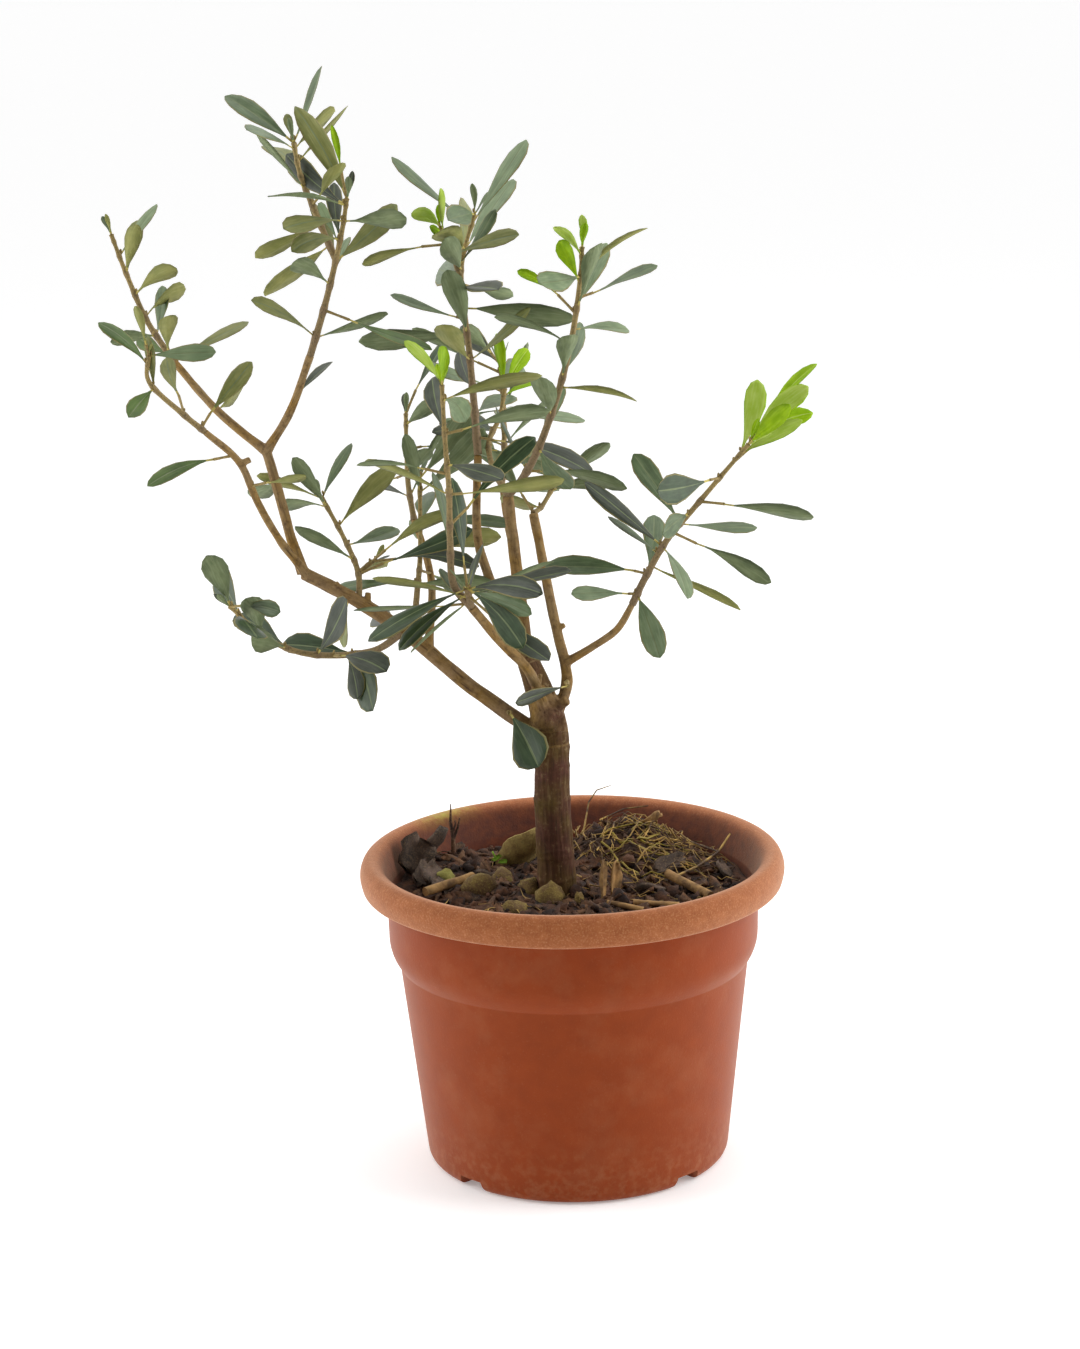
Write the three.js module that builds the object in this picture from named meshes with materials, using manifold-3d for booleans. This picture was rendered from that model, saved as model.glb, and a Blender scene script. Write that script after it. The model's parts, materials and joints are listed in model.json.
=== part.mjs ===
// Olive bonsai in its round plastic pot: a short trunk, a few bare boughs and sprays of leaves at their ends.
// Millimetres, +Z up. The origin is the centre of the pot's flat underside, and the plant's front faces -Y.
// Bearings are degrees in plan, from +X (the right) round by +Y (the back). Climbs are degrees above level.
import * as THREE from "three";
import { mergeVertices } from "three/addons/utils/BufferGeometryUtils.js";
import Module from "manifold-3d";

// Pot: a rolled rim, a band under it, a sloping ledge and a tapered body with drain notches.
const RIM_RADIUS = 100;
const POT_HEIGHT = 148;
const RIM_BELLY_HEIGHT = 140;
const CREST_RADIUS = 95;
const LIP_HEIGHT = 133;
const LIP_RADIUS = 97.5;
const BAND_TOP_RADIUS = 87.5;
const BAND_FOOT_RADIUS = 86.5;
const BAND_FOOT_HEIGHT = 104;
const LEDGE_RADIUS = 82.2;
const LEDGE_HEIGHT = 96;
const BODY_FOOT_RADIUS = 72.4;
const BODY_FOOT_HEIGHT = 9;
const UNDERSIDE_RADIUS = 65;
const WALL = 2.8;
const FLOOR = 8;
const ROUND_SEGMENTS = 44;
const CURVE_STEPS = 3;
const NOTCHES = 4;
const NOTCH_WIDTH = 16;
const NOTCH_HEIGHT = 5.5;
const NOTCH_DEPTH = 9;

// Soil: bark mulch that fills the pot, level round the trunk and a little lower at the wall.
const SOIL_LEVEL = 131;
const SOIL_FLAT_RADIUS = 40;
const SOIL_EDGE_DROP = 3;

// Clearance between a piece and what it stands on, and how far a limb's foot starts inside its parent.
const SEAT = 0.3;
const SUNK = 2;

// Trunk: its foot in plan, the root flare over the soil and the swollen knot where the boughs leave it.
const TRUNK_FOOT = [-7, -9];
const TRUNK_TAPER = 3;
const FLARE = 1.2;
const FLARE_SHARE = 0.07;
const KNOT_SWELL = 0.9;
const KNOT_SHARE = 0.68;
const KNOT_SPREAD = 0.09;

// Limbs, from the trunk outwards. Each leaves the limb it grows on at a share of that limb's length,
// and runs in legs of length, bearing and climb, from its foot radius to its tip radius.
const LIMBS = [
  {
    name: "trunk", thick: [8.6, 5],
    legs: [[43, 180, 88], [37, 104, 88], [35, 150, 71]],
  },
  {
    name: "leader", on: "trunk", at: 1, thick: [2.9, 2.7],
    legs: [[18, 114, 79], [32, 139, 82], [25, 136, 83]],
  },
  {
    name: "middle_stem", on: "trunk", at: 0.97, thick: [2.5, 1.9],
    legs: [[24, 141, 55], [23, 135, 61], [20, 125, 68], [35, 77, 80]],
  },
  {
    name: "left_bough", on: "trunk", at: 0.6, thick: [3.6, 3],
    legs: [[46, 167, 34], [36, 170, 40], [30, 171, 34], [28, 173, 28]],
  },
  {
    name: "right_stem", on: "trunk", at: 0.66, thick: [2.9, 2.2],
    legs: [[20, 32, 63], [12, 92, 75], [20, 137, 73], [51, 132, 75]],
  },
  {
    name: "front_bough", on: "trunk", at: 0.7, thick: [2.6, 2.1],
    legs: [[31, 242, 58], [26, 223, 46], [25, 224, 48]],
  },
  {
    name: "right_bough", on: "right_stem", at: 0.5, thick: [1.9, 1.6],
    legs: [[17, 334, 32], [16, 334, 37], [15, 330, 57]],
  },
  {
    name: "inner_left_bough", on: "left_bough", at: 1, thick: [2.5, 2.3],
    legs: [[17, 143, 67], [18, 137, 71], [24, 137, 69]],
  },
  {
    name: "outer_left_bough", on: "left_bough", at: 0.98, thick: [1.9, 1.6],
    legs: [[23, 214, 53], [23, 223, 59], [22, 221, 65], [22, 202, 45]],
  },
  {
    name: "far_left_bough", on: "inner_left_bough", at: 1, thick: [2.1, 1.8],
    legs: [[30, 160, 37], [31, 158, 46]],
  },
  {
    name: "tall_left_bough", on: "inner_left_bough", at: 1, thick: [2.1, 1.8],
    legs: [[23, 347, 57], [29, 335, 66]],
  },
  {
    name: "back_bough", on: "leader", at: 0.35, thick: [2, 1.6],
    legs: [[31, 96, 35], [27, 99, 29], [27, 98, 41]],
  },
  {
    name: "back_left_bough", on: "left_bough", at: 0.42, thick: [2, 1.6],
    legs: [[33, 86, 47], [25, 100, 35], [20, 109, 36]],
  },
];

// Sprays: leafy shoots. A shoot grows on a limb, or as a twig on another shoot, in legs as a limb does.
// Pairs of leaves stand at every gap from its tip down to its bare foot. turn is the first pair's turn
// round the stem, open its angle from the stem, leaf the leaf's length and young the count of young pairs
// at the tip. Each pair has its own seed. fallen names leaves that have dropped, by pair and side, and broad
// widens the blades. A row with one side is a single leaf.
const SPRAYS = [
  {
    name: "right_spray", on: "right_bough", at: 1, bare: 2, gap: 14, turn: 0, open: 85,
    legs: [[15, 325, 61], [22, 325, 57], [20, 332, 49], [21, 334, 49], [20, 339, 49]],
    leaf: 44, seeds: [379, 481, 714, 1157, 819, 1303, 1166, 1389], young: 2,
  },
  {
    name: "far_left_spray", on: "far_left_bough", at: 1, bare: 0, gap: 9.5, turn: 30, open: 50,
    legs: [[23, 162, 56], [25, 168, 68], [18, 161, 70]],
    leaf: 32, seeds: [97, 415, 425, 1285, 1441, 247, 983, 194],
  },
  {
    name: "outer_left_spray", on: "outer_left_bough", at: 1, bare: 2, gap: 13, turn: 15, open: 70,
    legs: [[12, 206, 42], [23, 207, 46], [13, 285, 77]],
    leaf: 28, seeds: [713, 975, 1369, 1408, 1230],
  },
  {
    name: "tall_left_spray", on: "tall_left_bough", at: 1, bare: 4, gap: 11, turn: 60, open: 65,
    legs: [[25, 323, 67], [22, 314, 67], [18, 318, 71], [13, 321, 76]],
    leaf: 42, seeds: [79, 89, 1040, 56, 216, 217, 489, 443],
  },
  {
    name: "tall_left_twig", on: "tall_left_spray", at: 0.52, bare: 1, gap: 8, turn: 45, open: 65,
    legs: [[25, 140, 61], [17, 146, 65], [15, 139, 76]],
    leaf: 44, seeds: [1191, 1187, 1287, 146, 300, 1080, 154, 1267],
  },
  {
    name: "low_left_spray", on: "left_bough", at: 0.53, bare: 25, gap: 15.5, turn: 15, open: 65,
    legs: [[22, 226, -14], [31, 212, 6], [25, 211, 26], [24, 210, 45]],
    leaf: 36, seeds: [673, 169, 964, 761, 844, 1243], broad: 1.4,
  },
  {
    name: "left_inner_spray", on: "left_bough", at: 0.74, bare: 14, gap: 8.5, turn: 30, open: 65,
    legs: [[14, 93, 68], [17, 127, 54], [24, 132, 48]],
    leaf: 40, seeds: [655, 1485, 131, 264, 1037, 162],
  },
  {
    name: "left_inner_twig", on: "left_inner_spray", at: 0.33, bare: 2, gap: 6.5, turn: 90, open: 60,
    legs: [[9, 30, 30]],
    leaf: 38, seeds: [1174, 528],
  },
  {
    name: "left_upright_spray", on: "left_bough", at: 0.49, bare: 24, gap: 10.5, turn: 120, open: 70,
    legs: [[23, 79, 60], [19, 81, 58], [36, 89, 64]],
    leaf: 40, seeds: [359, 991, 610, 552, 740, 671],
  },
  {
    name: "rosette_spray", on: "front_bough", at: 1, bare: 0, gap: 1.5, turn: 135, open: 90,
    legs: [[12, 256, 58]],
    leaf: 46, seeds: [1496, 21, 459, 1205, 1494, 1142, 470, 645, 625], fallen: ["6,1"],
  },
  {
    name: "mid_left_spray", on: "front_bough", at: 1, bare: 27, gap: 13, turn: 75, open: 70,
    legs: [[14, 196, 55], [21, 260, 79], [24, 275, 80], [23, 257, 80], [25, 257, 85]],
    leaf: 42, seeds: [1001, 816, 1324, 1318, 665, 1199, 638], young: 1,
  },
  {
    name: "middle_spray", on: "middle_stem", at: 1, bare: 6, gap: 11, turn: 105, open: 75,
    legs: [[23, 108, 80], [25, 118, 82], [24, 126, 81], [17, 90, 83], [23, 0, 74]],
    leaf: 48, seeds: [975, 497, 133, 686, 1330, 175, 727, 213, 387, 272, 46],
  },
  {
    name: "middle_twig", on: "middle_spray", at: 0.72, bare: 5, gap: 6, turn: 0, open: 60,
    legs: [[13, 216, 67], [13, 203, 67]],
    leaf: 38, seeds: [60, 659, 766, 953, 1009], young: 2,
  },
  {
    name: "right_upper_spray", on: "leader", at: 1, bare: 19, gap: 14, turn: 45, open: 65,
    legs: [[13, 320, 44], [21, 317, 56], [30, 315, 64], [27, 308, 68], [26, 303, 74], [15, 291, 78]],
    leaf: 42, seeds: [97, 1048, 9, 203, 709, 1386, 1265, 184, 795], young: 2,
  },
  {
    name: "tuft_spray", on: "leader", at: 1, bare: 20, gap: 10, turn: 165, open: 65,
    legs: [[17, 118, 36], [16, 100, 41], [15, 61, 44], [14, 67, 61]],
    leaf: 42, seeds: [917, 1055, 1110, 393, 134], young: 2,
  },
  {
    name: "right_inner_spray", on: "right_stem", at: 1, bare: 0, gap: 9.5, turn: 135, open: 75,
    legs: [[8, 56, 16], [16, 61, 33]],
    leaf: 38, seeds: [446, 6, 398, 706],
  },
  {
    name: "fork_leaf_left", on: "left_bough", at: 0.14, bare: 1, gap: 15, turn: 150, open: 70,
    legs: [[5, 300, 0]],
    leaf: 28, seeds: [1518], sides: 1, missing: 0, broad: 2.3,
  },
  {
    name: "fork_leaf_right", on: "right_stem", at: 0.33, bare: 1, gap: 30, turn: 345, open: 85,
    legs: [[11, 270, 0]],
    leaf: 34, seeds: [1686], sides: 1, missing: 0,
  },
  {
    name: "back_spray", on: "back_bough", at: 1, bare: 0, gap: 8.5, turn: 150, open: 70,
    legs: [[18, 80, 62], [20, 90, 70], [20, 100, 76]],
    leaf: 42, seeds: [200, 108, 888, 813, 20, 575, 1064, 614],
  },
  {
    name: "back_left_spray", on: "back_left_bough", at: 1, bare: 0, gap: 12, turn: 45, open: 70,
    legs: [[18, 105, 55], [18, 95, 62], [18, 90, 70]],
    leaf: 36, seeds: [1470, 595, 259, 1284, 379, 864],
  },
];
const SHOOT_FOOT = 1.5;
const SHOOT_TIP = 0.8;

// Leaves: opposite pairs, each turned a quarter from the last, with swings dealt out by the pair's seed.
const PAIR_TURN = 90;
const TURN_SWING = [-60, 60];
const OPEN_SWING = [-30, 30];
const LENGTH_SWING = [0.78, 1.14];
const DROOP_SWING = [-0.15, 0.5];
const TWIST_SWING = [-60, 60];
const TIP_CLOSING = 0.3;
const TIP_GAP = 0.45;
const MISSING_SHARE = 0.16;
const SPUR_SHARE = 0.14;
const SPUR_SWING = [6, 14];
const SPUR_RADIUS = 0.6;
const YOUNG_CLOSING = 0.55;
const YOUNG_SIZE = 0.75;
const FACE_LIFT = 0.5;
const LEAF_WIDTH = 0.27;
const LEAF_KEEL = 0.016;
// A blade's rings: share of its length, and share of its half width there.
const LEAF_RINGS = [[0, 0.11], [0.12, 0.13], [0.45, 0.92], [0.76, 0.95], [1, 0.14]];

// A leaf is left out where its blade comes this near to a limb, to another stem, or to the leaves of
// another spray or of its own.
const LIMB_CLEAR = 2.5;
const STEM_CLEAR = 3;
const SPRAY_CLEAR = 5;
const PAIR_CLEAR = 3;
const YOUNG_CLEAR = 1.5;
const BLADE_STATIONS = [0.4, 0.6, 0.8, 1];
const BLADE_REACH = 0.36;
const LIMB_STATIONS = 40;
const SHOOT_STATIONS = 24;

// Facets of the swept pieces.
const TRUNK_SIDES = 14;
const LIMB_SIDES = 7;
const LIMB_STEPS = 3;
const SHOOT_SIDES = 4;
const SHOOT_STEPS = 2;
const LEAF_SIDES = 3;
const LEAF_EDGE = Math.sqrt(3) / 2;

const MERGE_DISTANCE = 1e-4;
const UP = new THREE.Vector3(0, 0, 1);
// A heading that no limb takes, from which the turn round every stem is counted.
const CROSSWISE = new THREE.Vector3(0.8, -0.6, 0);
const radians = THREE.MathUtils.degToRad;

const wasm = await Module();
wasm.setup();

// A closed geometry as a solid, with shared corners merged and collapsed faces dropped.
function solidOf(geometry) {
  geometry.deleteAttribute("normal");
  geometry.deleteAttribute("uv");
  const merged = mergeVertices(geometry, MERGE_DISTANCE);
  const corners = merged.index.array;
  const triVerts = [];
  for (let i = 0; i < corners.length; i += 3) {
    const face = [corners[i], corners[i + 1], corners[i + 2]];
    if (new Set(face).size === 3) {
      triVerts.push(...face);
    }
  }
  const mesh = new wasm.Mesh({
    numProp: 3,
    vertProperties: merged.getAttribute("position").array,
    triVerts: new Uint32Array(triVerts),
  });
  return new wasm.Manifold(mesh);
}

function biggestPiece(solid) {
  return solid.decompose().reduce((best, piece) => (piece.volume() > best.volume() ? piece : best));
}

function meshOf(name, solid, material) {
  const { vertProperties, triVerts } = solid.getMesh();
  const geometry = new THREE.BufferGeometry();
  geometry.setAttribute("position", new THREE.BufferAttribute(vertProperties, 3));
  geometry.setIndex(new THREE.BufferAttribute(triVerts, 1));
  geometry.computeVertexNormals();
  const mesh = new THREE.Mesh(geometry, material);
  mesh.name = name;
  return mesh;
}

// A profile of radius and height turned round the vertical axis.
function turned(points) {
  const lathe = new THREE.LatheGeometry(points, ROUND_SEGMENTS);
  lathe.rotateX(Math.PI / 2);
  return solidOf(lathe);
}

// A closed bar along a path. ringAt gives the centre and the two half axes of the section at a share of it.
function sweep(sides, steps, ringAt) {
  const bar = new THREE.CylinderGeometry(1, 1, 1, sides, steps);
  const place = bar.getAttribute("position");
  for (let i = 0; i < place.count; i++) {
    const { centre, across, upward } = ringAt(place.getY(i) + 0.5);
    const point = centre.clone();
    point.addScaledVector(across, place.getX(i));
    point.addScaledVector(upward, place.getZ(i));
    place.setXYZ(i, point.x, point.y, point.z);
  }
  return solidOf(bar);
}

// Growing: the curve that a row of legs follows, and the section frame at a share of it.
function heading(bearing, climb) {
  const level = Math.cos(radians(climb));
  return new THREE.Vector3(
    level * Math.cos(radians(bearing)),
    level * Math.sin(radians(bearing)),
    Math.sin(radians(climb)),
  );
}

function grownCurve(foot, legs) {
  const points = [foot];
  for (const [length, bearing, climb] of legs) {
    points.push(points.at(-1).clone().addScaledVector(heading(bearing, climb), length));
  }
  return new THREE.CatmullRomCurve3(points, false, "catmullrom", 0.5);
}

function frameAt(curve, share) {
  const along = curve.getTangent(share);
  const across = along.clone().cross(CROSSWISE).normalize();
  return { centre: curve.getPoint(share), along, across, upward: across.clone().cross(along) };
}

// A stem along a curve, its foot sunk into what it grows on. extra makes it wider and longer, as a clearance.
function stemSolid(curve, radiusAt, sides, steps, extra) {
  return sweep(sides, steps, (share) => {
    const { centre, along, across, upward } = frameAt(curve, share);
    if (share === 0) {
      centre.addScaledVector(along, -SUNK);
    }
    if (share === 1) {
      centre.addScaledVector(along, extra);
    }
    const radius = radiusAt(share) + extra;
    return { centre, across: across.multiplyScalar(radius), upward: upward.multiplyScalar(radius) };
  });
}

const taper = ([foot, tip]) => (share) => foot + (tip - foot) * share;

function trunkRadius(share) {
  const [foot, tip] = LIMBS[0].thick;
  const flare = FLARE * Math.exp(-share / FLARE_SHARE);
  const knot = KNOT_SWELL * Math.exp(-(((share - KNOT_SHARE) / KNOT_SPREAD) ** 2));
  return foot + (tip - foot) * share ** TRUNK_TAPER + flare + knot;
}

// Seeded swings: the same seed and draw always give the same number from 0 to 1.
function chance(seed, draw) {
  const value = Math.sin(seed * 12.9898 + draw * 78.233) * 43758.5453;
  return value - Math.floor(value);
}

const swing = (seed, draw, [low, high]) => low + (high - low) * chance(seed, draw);

// A leaf's rib arches from its root, and its face looks to the stem's tip and up, twisted a little.
function leafFrom(root, out, along, length, droop, twist) {
  const middle = root.clone().addScaledVector(out, length / 2);
  const lowered = out.clone().addScaledVector(UP, -droop).normalize();
  const tip = middle.clone().addScaledVector(lowered, length / 2);
  const level = along.clone().addScaledVector(UP, FACE_LIFT);
  level.addScaledVector(out, -level.dot(out)).normalize();
  const face = level.clone().multiplyScalar(Math.cos(radians(twist)));
  face.addScaledVector(out.clone().cross(level), Math.sin(radians(twist)));
  return { rib: new THREE.QuadraticBezierCurve3(root, middle, tip), side: out.clone().cross(face), length };
}

function leafSolid({ rib, side, length, broad }) {
  const last = LEAF_RINGS.length - 1;
  return sweep(LEAF_SIDES, last, (share) => {
    const [station, width] = LEAF_RINGS[Math.round(share * last)];
    const across = side.clone().negate();
    const upward = across.clone().cross(rib.getTangent(station));
    const halfWidth = (width * LEAF_WIDTH * broad * length) / 2;
    return {
      centre: rib.getPoint(station),
      across: across.multiplyScalar(halfWidth / LEAF_EDGE),
      upward: upward.multiplyScalar(LEAF_KEEL * length),
    };
  });
}

// Points over a leaf's blade, for keeping it clear of its neighbours.
function bladePoints({ rib, side, length, broad }) {
  const points = [];
  for (const station of BLADE_STATIONS) {
    const centre = rib.getPoint(station);
    const reach = station < 1 ? BLADE_REACH * LEAF_WIDTH * broad * length : 0;
    for (const offset of reach ? [0, reach, -reach] : [0]) {
      points.push(centre.clone().addScaledVector(side, offset));
    }
  }
  return points;
}

const isClear = (points, others, margin) =>
  points.every((point) => others.every(({ at, radius = 0 }) => point.distanceTo(at) - radius >= margin));

function stations(curve, count, radiusAt) {
  const list = [];
  for (let i = 0; i <= count; i++) {
    list.push({ at: curve.getPoint(i / count), radius: radiusAt(i / count) });
  }
  return list;
}

// How far along a shoot its pairs stand, from the tip down: the youngest two are close together.
function pairStations({ bare, gap, legs }) {
  const length = legs.reduce((sum, [leg]) => sum + leg, 0);
  const shares = [];
  for (let pair = 0, along = length; along >= bare; pair++, along = length - gap * (TIP_GAP + pair - 1)) {
    shares.push(along / length);
  }
  return shares;
}

// The leaves of one pair, with the spurs that some of them stand on.
function pairOfLeaves(spray, curve, pair, share) {
  const { centre, along, across, upward } = frameAt(curve, share);
  const seed = spray.seeds[pair];
  const young = pair < (spray.young ?? 0);
  const leaves = [];
  for (let side = 0; side < (spray.sides ?? 2); side++) {
    const draw = 100 * pair + 50 * side;
    const isMissing = chance(seed, draw) < (spray.missing ?? MISSING_SHARE);
    if (isMissing || spray.fallen?.includes(`${pair},${side}`)) {
      continue;
    }
    const turn = radians(spray.turn + PAIR_TURN * pair + 180 * side + swing(seed, draw + 1, TURN_SWING));
    let open = spray.open * (1 - TIP_CLOSING * share) + swing(seed, draw + 2, OPEN_SWING);
    let length = spray.leaf * swing(seed, draw + 3, LENGTH_SWING);
    if (young) {
      open *= YOUNG_CLOSING;
      length *= YOUNG_SIZE;
    }
    const out = along.clone().multiplyScalar(Math.cos(radians(open)));
    out.addScaledVector(across, Math.cos(turn) * Math.sin(radians(open)));
    out.addScaledVector(upward, Math.sin(turn) * Math.sin(radians(open)));
    const onSpur = !young && !spray.sides && chance(seed, draw + 6) < SPUR_SHARE;
    const spur = onSpur ? swing(seed, draw + 7, SPUR_SWING) : 0;
    const root = centre.clone().addScaledVector(out, spur);
    const droop = swing(seed, draw + 4, DROOP_SWING);
    const twist = swing(seed, draw + 5, TWIST_SWING);
    const leaf = leafFrom(root, out, along, length, droop, twist);
    const broad = spray.broad ?? 1;
    leaves.push({ ...leaf, broad, spray: spray.name, pair, young, spur: onSpur ? [centre, root] : null });
  }
  return leaves;
}

// Pot and soil.
const insideHeight = SOIL_LEVEL - SOIL_EDGE_DROP;
const insideWall = [
  [BAND_TOP_RADIUS - WALL, insideHeight],
  [BAND_FOOT_RADIUS - WALL, BAND_FOOT_HEIGHT],
  [LEDGE_RADIUS - WALL, LEDGE_HEIGHT],
  [BODY_FOOT_RADIUS - WALL, FLOOR],
];

function makePot() {
  const profile = new THREE.Path();
  profile.moveTo(0, 0);
  profile.lineTo(UNDERSIDE_RADIUS, 0);
  profile.quadraticCurveTo(BODY_FOOT_RADIUS - 1, 0, BODY_FOOT_RADIUS, BODY_FOOT_HEIGHT);
  profile.lineTo(LEDGE_RADIUS, LEDGE_HEIGHT);
  profile.lineTo(BAND_FOOT_RADIUS, BAND_FOOT_HEIGHT);
  profile.lineTo(BAND_TOP_RADIUS, LIP_HEIGHT);
  profile.lineTo(LIP_RADIUS, LIP_HEIGHT);
  profile.quadraticCurveTo(RIM_RADIUS, LIP_HEIGHT, RIM_RADIUS, RIM_BELLY_HEIGHT);
  profile.quadraticCurveTo(RIM_RADIUS, POT_HEIGHT, CREST_RADIUS, POT_HEIGHT);
  profile.quadraticCurveTo(BAND_TOP_RADIUS, POT_HEIGHT, ...insideWall[0]);
  for (const [radius, height] of insideWall.slice(1)) {
    profile.lineTo(radius, height);
  }
  profile.lineTo(0, FLOOR);
  let pot = turned(profile.getPoints(CURVE_STEPS));
  for (let i = 0; i < NOTCHES; i++) {
    const notch = new THREE.BoxGeometry(2 * NOTCH_DEPTH, NOTCH_WIDTH, 2 * NOTCH_HEIGHT);
    notch.translate(BODY_FOOT_RADIUS, 0, 0);
    notch.rotateZ(((i + 0.5) * 2 * Math.PI) / NOTCHES);
    pot = pot.subtract(solidOf(notch));
  }
  return pot;
}

function makeSoil() {
  const points = [new THREE.Vector2(0, FLOOR + SEAT)];
  points.push(new THREE.Vector2(BODY_FOOT_RADIUS - WALL - SEAT, FLOOR + SEAT));
  for (const [radius, height] of insideWall.slice(0, -1).reverse()) {
    points.push(new THREE.Vector2(radius - SEAT, height));
  }
  points.push(new THREE.Vector2(SOIL_FLAT_RADIUS, SOIL_LEVEL));
  points.push(new THREE.Vector2(0, SOIL_LEVEL));
  return turned(points);
}

// Limbs: each is cut clear of those made before it, and the trunk is cut flat just over the soil.
const potPlastic = new THREE.MeshStandardMaterial({ color: "#8f4526", roughness: 0.6, metalness: 0 });
const mulch = new THREE.MeshStandardMaterial({ color: "#2e2218", roughness: 0.95, metalness: 0 });
const bark = new THREE.MeshStandardMaterial({ color: "#6d5334", roughness: 0.85, metalness: 0 });
const foliage = new THREE.MeshStandardMaterial({ color: "#4a5a40", roughness: 0.55, metalness: 0 });

const pot = new THREE.Group();
pot.add(meshOf("pot", makePot(), potPlastic));
pot.add(meshOf("soil", makeSoil(), mulch));

const curves = new Map();
const clearances = [];
const cutClear = (solid) => biggestPiece(clearances.reduce((rest, taken) => rest.subtract(taken), solid));

const tree = new THREE.Group();
const limbStations = [];
for (const limb of LIMBS) {
  const isTrunk = limb.on === undefined;
  const foot = isTrunk
    ? new THREE.Vector3(...TRUNK_FOOT, SOIL_LEVEL)
    : curves.get(limb.on).getPoint(limb.at);
  const curve = grownCurve(foot, limb.legs);
  const radiusAt = isTrunk ? trunkRadius : taper(limb.thick);
  const sides = isTrunk ? TRUNK_SIDES : LIMB_SIDES;
  const steps = limb.legs.length * LIMB_STEPS * (isTrunk ? 2 : 1);
  let solid = stemSolid(curve, radiusAt, sides, steps, 0);
  if (isTrunk) {
    const ground = new THREE.BoxGeometry(2 * RIM_RADIUS, 2 * RIM_RADIUS, POT_HEIGHT);
    ground.translate(0, 0, SOIL_LEVEL + SEAT - POT_HEIGHT / 2);
    solid = solid.subtract(solidOf(ground));
  }
  tree.add(meshOf(limb.name, cutClear(solid), bark));
  clearances.push(stemSolid(curve, radiusAt, sides, steps, SEAT));
  curves.set(limb.name, curve);
  limbStations.push(...stations(curve, LIMB_STATIONS, taper(limb.thick)));
}

// Sprays: a shoot that grows on another shoot is a twig, and belongs to that shoot's mass.
const shoots = SPRAYS.map((spray) => {
  const curve = grownCurve(curves.get(spray.on).getPoint(spray.at), spray.legs);
  curves.set(spray.name, curve);
  return { spray, curve, axis: stations(curve, SHOOT_STATIONS, () => 0) };
});
const isShoot = (name) => SPRAYS.some((spray) => spray.name === name);
const areKin = (a, b) => a.name === b.name || a.on === b.name || b.on === a.name;

const leaves = [];
for (const { spray, curve } of shoots) {
  const otherStems = shoots.filter((other) => !areKin(other.spray, spray)).flatMap((other) => other.axis);
  pairStations(spray).forEach((share, pair) => {
    for (const leaf of pairOfLeaves(spray, curve, pair, share)) {
      const points = bladePoints(leaf);
      const mates = leaves.filter((other) => other.spray === spray.name && other.pair !== pair);
      const strangers = leaves.filter((other) => other.spray !== spray.name);
      const dots = (list) => list.flatMap((other) => other.points.map((at) => ({ at })));
      if (
        isClear(points, limbStations, LIMB_CLEAR) &&
        isClear(points, otherStems, STEM_CLEAR) &&
        isClear(points, dots(strangers), SPRAY_CLEAR) &&
        isClear(points, dots(mates), leaf.young ? YOUNG_CLEAR : PAIR_CLEAR)
      ) {
        leaves.push({ ...leaf, points });
      }
    }
  });
}

const shootStem = ({ spray, curve }, extra) =>
  stemSolid(curve, taper([SHOOT_FOOT, SHOOT_TIP]), SHOOT_SIDES, spray.legs.length * SHOOT_STEPS, extra);

function shootLeaves({ spray }) {
  const solids = [];
  for (const leaf of leaves.filter((other) => other.spray === spray.name)) {
    solids.push(leafSolid(leaf));
    if (leaf.spur) {
      const spur = new THREE.LineCurve3(...leaf.spur);
      solids.push(stemSolid(spur, () => SPUR_RADIUS, SHOOT_SIDES, 1, 0));
    }
  }
  return solids;
}

// A mass is its stems with its leaves fused on. A leaf that meets another mass's stem is cut off and dropped.
for (const shoot of shoots.filter(({ spray }) => !isShoot(spray.on))) {
  const isMember = ({ spray }) => spray === shoot.spray || spray.on === shoot.spray.name;
  const members = shoots.filter(isMember);
  const strangers = shoots.filter((other) => !isMember(other)).map((other) => shootStem(other, SEAT));
  const cutOff = (leaf) => strangers.reduce((rest, stem) => rest.subtract(stem), leaf);
  const stems = members.map((member) => shootStem(member, 0));
  const green = members.flatMap(shootLeaves).map(cutOff);
  const mass = [...stems, ...green].reduce((whole, piece) => whole.add(piece));
  tree.add(meshOf(shoot.spray.name, cutClear(mass), foliage));
  clearances.push(...members.map((member) => shootStem(member, SEAT)));
}

const oliveBonsai = new THREE.Group();
oliveBonsai.add(pot, tree);

export default oliveBonsai;
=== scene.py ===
# Olive bonsai in its round plastic pot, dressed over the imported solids.
# Metres, +Z up. The origin is the centre of the pot's flat underside, and the plant's front faces -Y.
import json
import math
import random

import bpy
import numpy as np
from mathutils import Matrix, Vector, noise
from mathutils.kdtree import KDTree

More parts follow.
